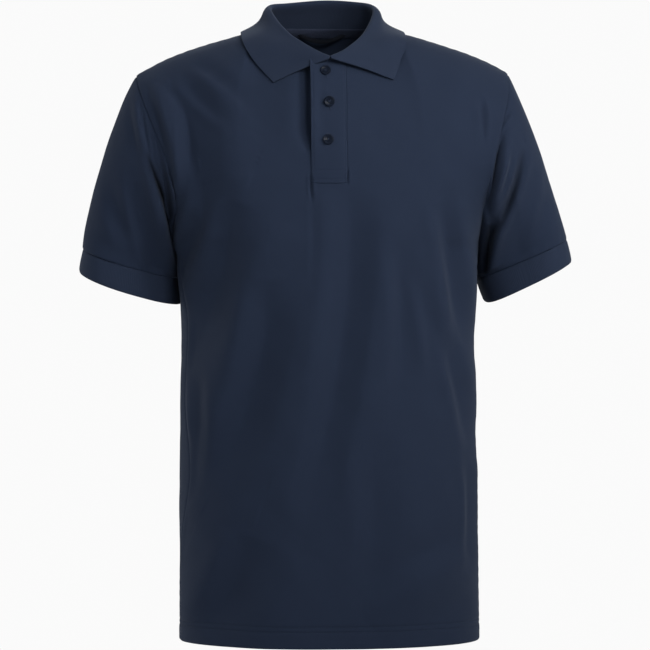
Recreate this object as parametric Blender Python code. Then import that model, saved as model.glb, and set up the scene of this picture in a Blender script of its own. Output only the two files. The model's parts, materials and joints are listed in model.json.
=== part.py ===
"""A men's short-sleeved polo shirt, filled out as if worn, with nobody in it.

Metres, +Z up. The shirt faces -Y and the wearer's left is at +X. The origin is
midway between the two points where the shoulder seams meet the collar.
Every cloth piece is a thin wall around a curved sheet. A sheet is a function of
two numbers, across and up (or around and along), and of a depth out of the sheet.
"""
import math

import bmesh
import bpy
from mathutils import Matrix, Vector

MM = 0.001

# Cloth
PIQUE_WALL = 1.6 * MM
RIB_WALL = 2.0 * MM
SEAM_GAP = 0.4 * MM

# How far apart, in across, up and turn, two places are taken to find which way is out
PANEL_STEP = 0.004
TURN_STEP = 0.01

# Heights of the body, in millimetres below the neck points
HEM_Z = -722.0
ARMPIT_Z = -250.0

# Body sections from the hem up to the armpit, in millimetres. low_x and high_x are the
# section's two sides, front and back its depths at the middle, square how square it is
# (2 is an ellipse). The rolls are how far each side seam is turned forward, in degrees.
BODY = (
    # z, low_x, high_x, front, back, side, square, low_roll, high_roll
    (-722.0, -172.0, 183.5, -117.0, 108.0, 6.0, 2.35, 4.0, 0.0),
    (-620.0, -172.0, 181.0, -118.0, 108.0, 6.0, 2.35, 8.0, 5.0),
    (-520.0, -171.0, 179.5, -119.0, 108.0, 6.0, 2.3, 22.0, 8.0),
    (-430.0, -170.0, 176.5, -121.0, 109.0, 6.0, 2.3, 13.0, 2.0),
    (-345.0, -169.5, 176.0, -123.0, 112.0, 6.0, 2.3, 17.0, 0.0),
    (-290.0, -173.0, 180.0, -124.0, 114.0, 5.0, 2.3, 8.0, 0.0),
    (-250.0, -177.0, 182.5, -125.0, 115.0, 5.0, 2.3, 0.0, 0.0),
)
HEM_LIFT = 2.5
HEM_REACH = 1 / 3

# Armhole edges from the armpit (rise 0) to the shoulder point (rise 1).
ARMHOLE = (
    # rise, low_x, high_x
    (0.0, -177.0, 182.5),
    (0.15, -178.0, 183.5),
    (0.3, -184.0, 188.0),
    (0.5, -198.0, 198.0),
    (0.75, -213.0, 210.0),
    (1.0, -222.0, 217.0),
)
SEAM_TURN = 0.0008
ARMHOLE_EASE = 2.2
SHOULDER_Z = (-55.0, -50.0)
ARMHOLE_FRONT = -92.0
ARMHOLE_BACK = 90.0
ARMHOLE_TURN = 0.36
CHEST_ROUND = 2.5

# Neckline and shoulder seams
NECK_CENTRE = -2.0
NECK_HALF = 79.0
NECK_RIDGE = 5.0
NECK_FRONT = (-78.0, -45.0)
NECK_BACK = (58.0, 3.5)
SHOULDER_CURL = 0.22
FRONT_LEAN = math.radians(55)
BACK_LEAN = math.radians(75)
RIDGE_LEAN = math.radians(88)

# Columns of a body panel: the placket zone, then the neckline, then the shoulder
PLACKET_ZONE = 0.14
NECK_ZONE = 0.44
ZONE_HALF = 30.0
ZONE_CENTRE = -4.2
ZONE_LOW = -420.0
ZONE_BLEND = 200.0

# Placket: the slit in the front, and the two strips that close it
SLIT_LEFT = -28.0
SLIT_RIGHT = 20.0
SLIT_FOOT = 1.322
STRIP_HALF = 20.7
STRIP_FOOT = 1.262
STRIP_WALL = 1.8 * MM
STRIP_GAP = 0.004

# Buttons
BUTTON_RADIUS = 6.25 * MM
BUTTON_THICK = 2.6 * MM
BUTTONS = (
    # x, z, tilt in degrees
    (-5.5, -55.5, 0.0),
    (-2.3, -92.5, 18.0),
    (-4.4, -136.2, 0.0),
)
BUTTON_SHAPE = (
    # radius, height, as parts of the button's own: the back, the rim, the sunk middle
    (0.0, 0.0),
    (0.72, 0.0),
    (0.96, 0.32),
    (1.0, 0.62),
    (0.9, 1.0),
    (0.74, 0.92),
    (0.6, 0.7),
    (0.0, 0.66),
)

# Soft folds of the front, back and sleeves as seen from the front or the back, in
# millimetres: start, middle and end of the fold's line, its width and its depth
# (a ridge has a depth below zero).
FRONT_FOLDS = (
    # x0, z0, x1, z1, x2, z2, width, depth
    (-74.0, -222.0, -108.0, -291.0, -143.0, -377.0, 17.0, 7.0),
    (-30.0, -342.0, -68.0, -417.0, -120.0, -526.0, 20.0, 6.0),
    (18.0, -262.0, 32.0, -354.0, -5.0, -492.0, 20.0, 5.0),
    (92.0, -296.0, 108.0, -340.0, 116.0, -400.0, 15.0, 4.0),
    (132.0, -215.0, 150.0, -291.0, 164.0, -385.0, 13.0, 7.0),
    (128.0, -320.0, 148.0, -400.0, 160.0, -500.0, 15.0, 5.0),
    (-139.0, -230.0, -155.0, -265.0, -166.0, -310.0, 13.0, 5.0),
    (-204.0, -80.0, -192.0, -130.0, -176.0, -190.0, 12.0, -5.0),
    (-172.0, -190.0, -170.0, -215.0, -166.0, -245.0, 10.0, 5.0),
    (-60.0, -560.0, -85.0, -630.0, -110.0, -700.0, 28.0, 5.0),
    (110.0, -580.0, 95.0, -640.0, 85.0, -700.0, 26.0, 4.0),
)
BACK_FOLDS = (
    # x0, z0, x1, z1, x2, z2, width, depth
    (-150.0, -200.0, -120.0, -290.0, -100.0, -400.0, 16.0, 6.0),
    (148.0, -205.0, 128.0, -300.0, 112.0, -420.0, 17.0, 6.0),
    (-35.0, -260.0, -45.0, -380.0, -30.0, -520.0, 22.0, 6.0),
    (45.0, -300.0, 40.0, -420.0, 60.0, -560.0, 22.0, 5.0),
    (-105.0, -480.0, -95.0, -580.0, -110.0, -690.0, 24.0, 5.0),
    (110.0, -520.0, 118.0, -600.0, 105.0, -700.0, 24.0, 5.0),
)
SLEEVE_FOLDS = (
    # x0, z0, x1, z1, x2, z2, width, depth
    (-222.0, -150.0, -207.0, -205.0, -186.0, -268.0, 9.0, 6.0),
    (-238.0, -110.0, -226.0, -160.0, -208.0, -225.0, 11.0, -4.0),
    (240.0, -150.0, 224.0, -200.0, 200.0, -262.0, 9.0, 6.0),
    (228.0, -105.0, 216.0, -150.0, 206.0, -215.0, 11.0, -4.0),
)

# Sleeves: the rings where the cuff is sewn on and where it ends, as the outer and the
# inner corner in millimetres, half the depth from front to back, and how much lower
# the front is. The inner corner lies a little behind the body's side.
CUFFS = (
    # side, ring, outer x, outer z, inner x, inner y, inner z, half depth, front drop
    ("right", "seam", -281.5, -260.0, -174.5, 36.0, -291.0, 54.0, 7.0),
    ("right", "end", -286.5, -286.0, -172.0, 36.0, -321.0, 56.0, 8.0),
    ("left", "seam", 286.0, -247.0, 184.0, 36.0, -291.0, 54.0, 3.5),
    ("left", "end", 292.0, -273.0, 194.0, 32.0, -321.0, 56.0, 4.0),
)
CUFF_OUTER_Y = 0.0
SLEEVE_END_PULL = 0.5
FOLD_FACING = 1.6
FOLD_FADE = 1 / 6
CUFF_SETBACK = 1.4
CUFF_ROUND = 2.2
SLEEVE_STANDOFF = 2.0

# How a sleeve leaves its armhole: parts outward, down and to the front or back, at
# the shoulder, the middle of the front, the armpit and the middle of the back.
SLEEVE_START = (
    # turn, outward, down, toward, pull
    (0.0, 0.50, 0.86, 0.0, 0.75),
    (0.25, 0.75, 0.60, 0.20, 0.8),
    (0.5, 0.10, 1.0, 0.0, 0.7),
    (0.75, 0.75, 0.60, 0.20, 0.8),
    (1.0, 0.50, 0.86, 0.0, 0.75),
)

# Collar, in millimetres, from the wearer's right front (turn -1) round the back (0) to
# the left front (1): the roll at its top, and the outer edge of its fall, which lies on
# the body that many millimetres clear. bulge is how full the fall is between the two.
COLLAR = (
    # turn, roll x, roll y, roll z, edge x, edge z, clear, bulge
    (-1.0, -1.2, -84.0, -37.0, -65.0, -69.0, 4.5, 2.0),
    (-0.9, -13.0, -77.0, -31.5, -75.0, -58.0, 4.0, 2.0),
    (-0.8, -30.0, -64.0, -20.5, -86.0, -45.0, 3.5, 2.0),
    (-0.7, -45.0, -47.0, -8.5, -94.5, -33.0, 3.5, 1.5),
    (-0.6, -57.0, -25.0, 7.0, -98.5, -19.0, 3.5, -2.0),
    (-0.5, -65.0, 0.0, 23.0, -98.5, 0.0, 3.5, -5.0),
    (-0.4, -62.5, 22.0, 30.5, -91.0, -7.0, 3.5, -2.0),
    (-0.25, -42.0, 43.0, 34.5, -64.0, -9.0, 3.5, 2.0),
    (0.0, 5.0, 56.0, 39.5, 1.0, -9.0, 3.5, 3.0),
    (0.25, 45.0, 43.0, 36.0, 60.0, -9.0, 3.5, 2.0),
    (0.4, 57.0, 22.0, 31.0, 85.0, -7.0, 3.5, -2.0),
    (0.5, 59.0, 0.0, 23.5, 92.0, 0.0, 3.5, -5.0),
    (0.6, 52.0, -25.0, 7.0, 92.0, -16.0, 3.5, -2.0),
    (0.7, 42.0, -45.0, -8.0, 90.5, -27.0, 3.5, 1.5),
    (0.8, 30.0, -60.0, -19.5, 86.0, -39.0, 3.5, 2.0),
    (0.9, 15.0, -75.0, -30.5, 80.5, -52.0, 4.0, 2.0),
    (1.0, 1.2, -84.0, -37.0, 74.0, -65.0, 4.5, 2.0),
)
ROLL_RADIUS = 3.2
COLLAR_ENDS = 1.2
COLLAR_LIFT = 3.2

# Neck tape and hanging loop
TAPE_GAP = 1.1 * MM
TAPE_WALL = 1.0 * MM
TAPE_ROWS = (1.93, 1.985)
LOOP_HALF = 29.0
LOOP_SAG = 10.0
LOOP_WIDTH = 5.0
LOOP_DROP = 4.0
LOOP_BOW = 4.5
LOOP_WALL = 1.2 * MM

# Colours, roughness
NAVY = (0.018, 0.027, 0.049, 1.0)
NAVY_RIB = (0.020, 0.031, 0.056, 1.0)
BUTTON_BLUE = (0.012, 0.018, 0.032, 1.0)
TAPE_BLUE = (0.010, 0.014, 0.024, 1.0)


def lerp(a, b, t):
    return a + (b - a) * t


def smooth(t):
    t = min(max(t, 0.0), 1.0)
    return t * t * (3.0 - 2.0 * t)


def read_table(rows, key):
    """Values of a table at a key, on a smooth curve through its rows."""
    last = len(rows) - 1
    key = min(max(key, rows[0][0]), rows[last][0])
    i = 0
    while i < last - 1 and key > rows[i + 1][0]:
        i += 1
    a, b = rows[i], rows[i + 1]
    before, after = rows[max(i - 1, 0)], rows[min(i + 2, last)]
    gap = b[0] - a[0]
    t = (key - a[0]) / gap
    values = []
    for j in range(1, len(a)):
        slope_a = (b[j] - before[j]) / (b[0] - before[0]) * gap
        slope_b = (after[j] - a[j]) / (after[0] - a[0]) * gap
        values.append(
            (2 * t**3 - 3 * t**2 + 1) * a[j]
            + (t**3 - 2 * t**2 + t) * slope_a
            + (3 * t**2 - 2 * t**3) * b[j]
            + (t**3 - t**2) * slope_b
        )
    return values


def fold_lines(rows):
    """Each fold as points along its curved line, with its width and its depth."""
    folds = []
    for x0, z0, x1, z1, x2, z2, width, depth in rows:
        line = []
        for i in range(7):
            t = i / 6
            bend = 2 * t * (1 - t)
            x = (1 - t) ** 2 * x0 + bend * (2 * x1 - (x0 + x2) / 2) + t * t * x2
            z = (1 - t) ** 2 * z0 + bend * (2 * z1 - (z0 + z2) / 2) + t * t * z2
            line.append((x, z))
        folds.append((line, width, depth))
    return folds


def fold_shift(folds, x, z):
    """How far the folds move the cloth inward at a place seen from the front or back."""
    shift = 0.0
    for line, width, depth in folds:
        nearest = 9e9
        along = 0.0
        for i in range(len(line) - 1):
            (ax, az), (bx, bz) = line[i], line[i + 1]
            ux, uz = bx - ax, bz - az
            t = ((x - ax) * ux + (z - az) * uz) / (ux * ux + uz * uz)
            t = min(max(t, 0.0), 1.0)
            distance = math.hypot(x - ax - t * ux, z - az - t * uz)
            if distance < nearest:
                nearest = distance
                along = (i + t) / (len(line) - 1)
        if nearest < 3 * width:
            fade = math.sin(math.pi * min(max(along, 0.02), 0.98)) ** 0.7
            shift += depth * fade * math.exp(-((nearest / width) ** 2))
    return shift


# ---------------------------------------------------------------- body panels
FRONT, BACK = -1, 1


def top_edge(side, across):
    """Neckline and shoulder seam: place of the panel's top edge, and how far the cloth
    has turned toward level there."""
    hand = -1 if across < 0 else 1
    a = abs(across)
    depth, height = NECK_FRONT if side == FRONT else NECK_BACK
    lean = FRONT_LEAN if side == FRONT else BACK_LEAN
    gap = side * SEAM_GAP / MM / 2
    shoulder = ARMHOLE[-1][1 if hand < 0 else 2]
    drop = SHOULDER_Z[0 if hand < 0 else 1]
    if a < NECK_ZONE:
        inner = math.asin(ZONE_HALF / NECK_HALF)
        if a < PLACKET_ZONE:
            turn = math.asin(ZONE_HALF * a / PLACKET_ZONE / NECK_HALF)
        else:
            turn = lerp(inner, math.pi / 2, (a - PLACKET_ZONE) / (NECK_ZONE - PLACKET_ZONE))
        x = NECK_CENTRE + hand * NECK_HALF * math.sin(turn)
        y = NECK_RIDGE + gap + (depth - NECK_RIDGE) * math.cos(turn)
        z = height * math.cos(turn)
        return x, y, z, lerp(RIDGE_LEAN, lean, math.cos(turn))
    t = (a - NECK_ZONE) / (1 - NECK_ZONE)
    x = lerp(NECK_CENTRE + hand * NECK_HALF, shoulder, t)
    z = drop * ((1 - SHOULDER_CURL) * t + SHOULDER_CURL * t**4)
    return x, NECK_RIDGE + gap, z, RIDGE_LEAN


def panel_sheet(side, across, up):
    """A place on the front or back without its folds. up is 0 at the hem, 1 at the
    armpit and 2 at the shoulder and neckline; across runs from -1 to 1."""
    rise = max(up - 1.0, 0.0)
    z = lerp(HEM_Z, ARMPIT_Z, min(up, 1.0))
    low_x, high_x, front, back, seam, square, low_roll, high_roll = read_table(BODY, z)
    middle, other = (front, back) if side == FRONT else (back, front)
    turned = smooth(rise / ARMHOLE_TURN)
    if rise > 0:
        low_x, high_x = read_table(ARMHOLE, rise)
    hand = -1 if across < 0 else 1
    a = abs(across)
    centre = lerp((low_x + high_x) / 2, ZONE_CENTRE, smooth((z - ZONE_LOW) / ZONE_BLEND))
    half = abs((low_x if hand < 0 else high_x) - centre)
    roll = math.radians(low_roll if hand < 0 else high_roll)
    angle = 0.0
    if a < PLACKET_ZONE:
        reach = ZONE_HALF * a / PLACKET_ZONE
    else:
        angle = (math.pi / 2 - SEAM_TURN + side * roll) * (a - PLACKET_ZONE) / (1 - PLACKET_ZONE)
        reach = lerp(ZONE_HALF, half, math.sin(angle))
    share = min(reach / half, 1.0)
    square = lerp(square, CHEST_ROUND, turned)
    edge = seam + side * SEAM_GAP / MM / 2
    armhole = ARMHOLE_FRONT if side == FRONT else ARMHOLE_BACK
    edge = lerp(edge, armhole, 1 - (1 - min(rise / ARMHOLE_TURN, 1.0)) ** ARMHOLE_EASE)
    flat = max(1.0 - share**square, 0.0) ** lerp(1 / square, 1.0, turned)
    x = centre + hand * reach
    y = edge + ((middle if angle <= math.pi / 2 else other) - edge) * flat
    z += HEM_LIFT * share**2 * max(1.0 - up / HEM_REACH, 0.0) ** 2
    if rise > 0:
        top_x, top_y, top_z, lean = top_edge(side, across)
        bend = rise * lean
        climb = math.sin(bend) / math.sin(lean)
        x = lerp(x, top_x, climb * smooth(rise))
        y = top_y + (y - top_y) * (math.cos(bend) - math.cos(lean)) / (1 - math.cos(lean))
        z = lerp(z, top_z, climb)
    return Vector((x, y, z))


FOLDS = {FRONT: fold_lines(FRONT_FOLDS), BACK: fold_lines(BACK_FOLDS)}


def panel(side, across, up, depth=0.0):
    """A place on the front or back, depth metres outside the middle of the cloth."""
    step_a = -PANEL_STEP if across > 0 else PANEL_STEP
    step_u = -PANEL_STEP if up > 1 else PANEL_STEP
    here = panel_sheet(side, across, up)
    along = (panel_sheet(side, across + step_a, up) - here) / step_a
    rising = (panel_sheet(side, across, up + step_u) - here) / step_u
    out = along.cross(rising).normalized() * -side
    shift = fold_shift(FOLDS[side], here.x, here.z)
    return (here + out * (depth / MM - shift)) * MM


# ---------------------------------------------------------------- sleeves and cuffs
def resampled(points, count):
    """A line of points cut into equal lengths."""
    lengths = [0.0]
    for a, b in zip(points, points[1:]):
        lengths.append(lengths[-1] + (b - a).length)
    result = []
    j = 0
    for i in range(count):
        want = lengths[-1] * i / (count - 1)
        while j < len(points) - 2 and lengths[j + 1] < want:
            j += 1
        t = (want - lengths[j]) / (lengths[j + 1] - lengths[j])
        result.append(points[j].lerp(points[j + 1], t))
    return result


def armhole_loop(hand, half_count):
    """The armhole from the shoulder down the front to the armpit and up the back."""
    fine = 60
    front = [panel(FRONT, hand, 2 - i / fine) / MM for i in range(fine + 1)]
    back = [panel(BACK, hand, 1 + i / fine) / MM for i in range(fine + 1)]
    stand = Vector((hand * SLEEVE_STANDOFF, 0, 0))
    front = [p + stand for p in resampled(front, half_count + 1)]
    back = [p + stand for p in resampled(back, half_count + 1)]
    return front[:-1] + [front[-1].lerp(back[0], 0.5)] + back[1:-1]


def cuff_ring(hand, place, turn):
    """A place on the ring of a cuff: turn 0 is outside, 0.25 front, 0.5 inside."""
    side = "right" if hand < 0 else "left"
    for name, ring, outer_x, outer_z, inner_x, inner_y, inner_z, depth, drop in CUFFS:
        if name == side and ring == place:
            outer = Vector((outer_x, CUFF_OUTER_Y, outer_z))
            inner = Vector((inner_x, inner_y, inner_z))
            front = Vector((0, -depth, -drop))
    c, s = math.cos(turn * math.tau), math.sin(turn * math.tau)
    power = 2 / CUFF_ROUND
    wide = math.copysign(abs(c) ** power, c)
    deep = math.copysign(abs(s) ** power, s)
    return (outer + inner) / 2 + (outer - inner) / 2 * wide + front * deep


def sleeve_sheet(hand, loop, turn, along):
    """A place on a sleeve: turn as on the cuff, along from the armhole to the cuff."""
    spot = (turn % 1.0) * len(loop)
    i = int(spot)
    start = loop[i % len(loop)].lerp(loop[(i + 1) % len(loop)], spot - i)
    ring = cuff_ring(hand, "seam", turn)
    axis = (cuff_ring(hand, "end", 0) + cuff_ring(hand, "end", 0.5)) / 2
    axis -= (cuff_ring(hand, "seam", 0) + cuff_ring(hand, "seam", 0.5)) / 2
    axis.normalize()
    ring -= axis * CUFF_SETBACK
    outward, down, toward, pull = read_table(SLEEVE_START, turn % 1.0)
    front = -1 if turn % 1.0 < 0.5 else 1
    leave = Vector((hand * outward, front * toward, -down)).normalized()
    length = (ring - start).length
    t = along
    return (
        start * (2 * t**3 - 3 * t**2 + 1)
        + leave * length * pull * (t**3 - 2 * t**2 + t)
        + ring * (3 * t**2 - 2 * t**3)
        + axis * length * SLEEVE_END_PULL * (t**3 - t**2)
    )


SLEEVE_LINES = fold_lines(SLEEVE_FOLDS)


def sleeve(hand, loop, turn, along, depth=0.0):
    """A place on a sleeve, depth metres outside the middle of its cloth. Folds fade
    toward both seams and where the cloth faces sideways."""
    step_a = -TURN_STEP if along > 0.5 else TURN_STEP
    here = sleeve_sheet(hand, loop, turn, along)
    around = sleeve_sheet(hand, loop, turn + TURN_STEP, along)
    around -= sleeve_sheet(hand, loop, turn - TURN_STEP, along)
    down = (sleeve_sheet(hand, loop, turn, along + step_a) - here) / step_a
    out = around.cross(down).normalized() * -hand
    shift = fold_shift(SLEEVE_LINES, here.x, here.z) * smooth(abs(out.y) * FOLD_FACING)
    shift *= smooth(along / FOLD_FADE) * smooth((1 - along) / FOLD_FADE)
    return (here + out * (depth / MM - shift)) * MM


def cuff(hand, turn, along, depth=0.0):
    """A place on a cuff, depth metres outside the middle of its cloth."""
    top, end = cuff_ring(hand, "seam", turn), cuff_ring(hand, "end", turn)
    axis = (end - top).normalized()
    here = top.lerp(end, along)
    around = cuff_ring(hand, "end", turn + TURN_STEP) - cuff_ring(hand, "end", turn - TURN_STEP)
    out = around.cross(axis).normalized() * -hand
    return (here + out * (depth / MM)) * MM


# ---------------------------------------------------------------- collar
def find_on_panel(side, x, z):
    """The across and up values of a panel's place, above the armpit, seen at x and z."""
    low_up, high_up = 1.0, 2.0
    for _ in range(24):
        up = (low_up + high_up) / 2
        low, high = -1.0, 1.0
        for _ in range(24):
            across = (low + high) / 2
            if panel_sheet(side, across, up).x < x:
                low = across
            else:
                high = across
        if panel_sheet(side, across, up).z < z:
            low_up = up
        else:
            high_up = up
    return across, up


def collar_rows():
    """The collar's table with the depth of its outer edge, read from the body."""
    rows = []
    for turn, roll_x, roll_y, roll_z, edge_x, edge_z, clear, bulge in COLLAR:
        side = FRONT if abs(turn) >= 0.5 else BACK
        edge = panel(side, *find_on_panel(side, edge_x, edge_z), clear * MM) / MM
        rows.append((turn, roll_x, roll_y, roll_z, *edge, bulge))
    return rows


COLLAR_ROWS = collar_rows()


def collar_sheet(turn, across):
    """A place on the collar: across is 0 at the neck seam and 1 at the outer edge."""
    rx, ry, rz, ex, ey, ez, bulge = read_table(COLLAR_ROWS, turn)
    roll, edge = Vector((rx, ry, rz)), Vector((ex, ey, ez))
    angle = turn * math.pi
    depth, height = NECK_BACK if abs(turn) < 0.5 else NECK_FRONT
    seam = Vector((
        NECK_CENTRE + NECK_HALF * math.sin(angle),
        NECK_RIDGE + (depth - NECK_RIDGE) * abs(math.cos(angle)),
        height * abs(math.cos(angle)) + COLLAR_LIFT,
    ))
    ends = smooth((abs(turn) - 0.9) / 0.1)
    seam.x = lerp(seam.x, math.copysign(COLLAR_ENDS, turn), ends)
    out = Vector((math.sin(angle), math.cos(angle), 0))
    rise = Vector((0, 0, 1))
    fall = (edge - roll).normalized()
    path = (
        # across, place: the seam, up the stand, over the roll, down the fall, the edge
        (0.0, seam),
        (0.22, seam.lerp(roll, 0.55) - out * 0.6),
        (0.40, roll - rise * 2.6 - out * ROLL_RADIUS * 0.55),
        (0.46, roll + out * ROLL_RADIUS * 0.35),
        (0.53, roll - rise * 2.2 + out * ROLL_RADIUS * 1.25 + fall * 2.0),
        (0.76, roll.lerp(edge, 0.5) + (out * 0.8 + rise * 0.6) * bulge),
        (1.0, edge),
    )
    return Vector(read_table([(key, *place) for key, place in path], across))


def collar(turn, across, depth=0.0):
    """A place on the collar, depth metres outside the middle of its cloth."""
    step_t = -TURN_STEP if turn > 0 else TURN_STEP
    step_a = -TURN_STEP if across > 0.5 else TURN_STEP
    here = collar_sheet(turn, across)
    along = (collar_sheet(turn + step_t, across) - here) / step_t
    over = (collar_sheet(turn, across + step_a) - here) / step_a
    out = along.cross(over).normalized()
    return (here + out * (depth / MM)) * MM


# ---------------------------------------------------------------- making walls
def evenly(first, last, count):
    return [lerp(first, last, i / count) for i in range(count + 1)]


def material(name, colour, roughness, metallic=0.0):
    made = bpy.data.materials.new(name)
    made.use_nodes = True
    shader = made.node_tree.nodes["Principled BSDF"]
    shader.inputs["Base Color"].default_value = colour
    shader.inputs["Roughness"].default_value = roughness
    shader.inputs["Metallic"].default_value = metallic
    return made


def finish(name, bm, colour, roughness):
    """Turn a bmesh into a named, smooth-shaded object with its own material."""
    bmesh.ops.recalc_face_normals(bm, faces=bm.faces)
    mesh = bpy.data.meshes.new(name)
    bm.to_mesh(mesh)
    bm.free()
    mesh.shade_smooth()
    mesh.set_sharp_from_angle(angle=math.radians(50))
    mesh.materials.append(material(name, colour, roughness))
    made = bpy.data.objects.new(name, mesh)
    bpy.context.scene.collection.objects.link(made)
    return made


def sheet_grid(columns, rows):
    """A grid whose points hold their column value in x and their row value in y."""
    bm = bmesh.new()
    wide, high = len(columns) - 1, len(rows) - 1
    bmesh.ops.create_grid(bm, x_segments=wide, y_segments=high, size=1.0)
    for point in bm.verts:
        i = round((point.co.x + 1) / 2 * wide)
        j = round((point.co.y + 1) / 2 * high)
        point.co = (columns[i], rows[j], 0)
    return bm


def make_wall(name, bm, place, wall, colour, roughness):
    """Give a flat grid its place and a wall: a twin sheet inside, and a rim between."""
    sheet = list(bm.verts)
    rim = [edge for edge in bm.edges if edge.is_boundary]
    copied = bmesh.ops.duplicate(bm, geom=bm.verts[:] + bm.edges[:] + bm.faces[:])
    twin = copied["vert_map"]
    inside = [part for part in copied["geom"] if isinstance(part, bmesh.types.BMFace)]
    bmesh.ops.reverse_faces(bm, faces=inside)
    for edge in rim:
        a, b = edge.verts
        bm.faces.new((a, b, twin[b], twin[a]))
    for point in sheet:
        first, second = point.co.x, point.co.y
        twin[point].co = place(first, second, -wall / 2)
        point.co = place(first, second, wall / 2)
    finish(name, bm, colour, roughness)


def make_tube(name, turns, rows, place, wall, colour, roughness):
    """A wall around a ring: the first and last columns of the grid are one."""
    bm = sheet_grid(evenly(0.0, 1.0, turns), rows)
    closing = [edge for edge in bm.edges if edge.is_boundary
               and abs(edge.verts[0].co.x - edge.verts[1].co.x) < 1e-6]
    right = {round(v.co.y, 6): v for e in closing for v in e.verts if v.co.x > 0.5}
    left = {round(v.co.y, 6): v for e in closing for v in e.verts if v.co.x < 0.5}
    bmesh.ops.weld_verts(bm, targetmap={right[key]: left[key] for key in right})
    make_wall(name, bm, place, wall, colour, roughness)


def clear_scene():
    for old in list(bpy.data.objects):
        bpy.data.objects.remove(old, do_unlink=True)


# ---------------------------------------------------------------- the pieces
STRIP_ROWS = evenly(SLIT_FOOT, 2.0, 8)


def across_of(x):
    """The column of the placket zone at a distance from the zone's middle."""
    return PLACKET_ZONE * x / ZONE_HALF


def side_columns():
    """Columns of a panel from the placket zone out: the neckline, then the shoulder."""
    return evenly(PLACKET_ZONE, NECK_ZONE, 5) + evenly(NECK_ZONE, 1.0, 5)[1:]


def make_front():
    slit = [across_of(SLIT_LEFT), across_of(SLIT_RIGHT)]
    right = side_columns()
    columns = [-value for value in reversed(right)] + [slit[0], 0.0, slit[1]] + right
    rows = evenly(0.0, 1.0, 10) + [1.12, 1.22] + STRIP_ROWS
    bm = sheet_grid(columns, rows)
    gone = []
    for face in bm.faces:
        middle = face.calc_center_median()
        if slit[0] < middle.x < slit[1] and middle.y > SLIT_FOOT:
            gone.append(face)
    bmesh.ops.delete(bm, geom=gone, context="FACES")
    make_wall("front_body", bm, lambda a, u, d: panel(FRONT, a, u, d), PIQUE_WALL, NAVY, 0.9)


def make_back():
    right = side_columns()
    columns = [-value for value in reversed(right)] + [0.0] + right
    rows = evenly(0.0, 1.0, 10) + evenly(1.0, 2.0, 10)[1:]
    bm = sheet_grid(columns, rows)
    make_wall("back_body", bm, lambda a, u, d: panel(BACK, a, u, d), PIQUE_WALL, NAVY, 0.9)


def make_sleeve(hand, name):
    turns = 24
    loop = armhole_loop(hand, turns)
    rows = evenly(0.0, 1.0, 9)
    make_tube("sleeve_" + name, turns, rows,
              lambda t, a, d: sleeve(hand, loop, t, a, d), PIQUE_WALL, NAVY, 0.9)
    make_tube("cuff_" + name, turns, [0.0, 1.0],
              lambda t, a, d: cuff(hand, t, a, d), RIB_WALL, NAVY_RIB, 0.9)


def make_collar():
    columns = [-value for value in evenly(1.0, 0.0, 20)][:-1] + evenly(0.0, 1.0, 20)
    rows = [0.0, 0.2, 0.36, 0.42, 0.46, 0.50, 0.56, 0.7, 0.85, 1.0]
    make_wall("collar", sheet_grid(columns, rows), collar, RIB_WALL, NAVY_RIB, 0.9)


def make_plackets():
    gap = SEAM_GAP / MM
    under = evenly(across_of(SLIT_LEFT + gap), across_of(SLIT_RIGHT - gap), 4)
    rows = [SLIT_FOOT + STRIP_GAP] + STRIP_ROWS[1:]
    make_wall("placket_under", sheet_grid(under, rows),
              lambda a, u, d: panel(FRONT, a, u, d), PIQUE_WALL, NAVY, 0.9)
    lift = PIQUE_WALL / 2 + SEAM_GAP + STRIP_WALL / 2
    over = evenly(across_of(-STRIP_HALF), across_of(STRIP_HALF), 4)
    rows = [STRIP_FOOT] + STRIP_ROWS
    make_wall("placket_top", sheet_grid(over, rows),
              lambda a, u, d: panel(FRONT, a, u, d + lift), STRIP_WALL, NAVY, 0.9)


def placket_frame(x, z, depth):
    """Where something sits on the placket: its middle, and axes across, up and out."""
    across, up = find_on_panel(FRONT, x, z)
    middle = panel(FRONT, across, up, depth)
    out = (panel(FRONT, across, up, depth + MM) - middle).normalized()
    rise = out.cross(Vector((1, 0, 0))).normalized()
    side = rise.cross(out)
    return Matrix((side, rise, out)).transposed().to_4x4(), middle


def make_buttons():
    base = PIQUE_WALL / 2 + SEAM_GAP + STRIP_WALL + SEAM_GAP
    for number, (x, z, tilt) in enumerate(BUTTONS, start=1):
        bm = bmesh.new()
        points = [bm.verts.new((r * BUTTON_RADIUS, 0, h * BUTTON_THICK)) for r, h in BUTTON_SHAPE]
        edges = [bm.edges.new(pair) for pair in zip(points, points[1:])]
        bmesh.ops.spin(bm, geom=points + edges, cent=(0, 0, 0), axis=(0, 0, 1),
                       angle=math.tau, steps=16, use_merge=True)
        bmesh.ops.remove_doubles(bm, verts=bm.verts, dist=0.00002)
        made = finish("button_%d" % number, bm, BUTTON_BLUE, 0.3)
        angle = math.radians(tilt)
        turned, middle = placket_frame(x, z, base + BUTTON_RADIUS * math.sin(angle))
        made.matrix_world = Matrix.Translation(middle) @ turned @ Matrix.Rotation(angle, 4, "X")


def make_neck_tape():
    inward = PIQUE_WALL / 2 + TAPE_GAP + TAPE_WALL / 2
    right = evenly(PLACKET_ZONE, NECK_ZONE, 5)
    columns = [-value for value in reversed(right)] + [0.0] + right
    make_wall("neck_tape", sheet_grid(columns, TAPE_ROWS),
              lambda a, u, d: panel(BACK, a, u, d - inward), TAPE_WALL, TAPE_BLUE, 0.8)


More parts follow.
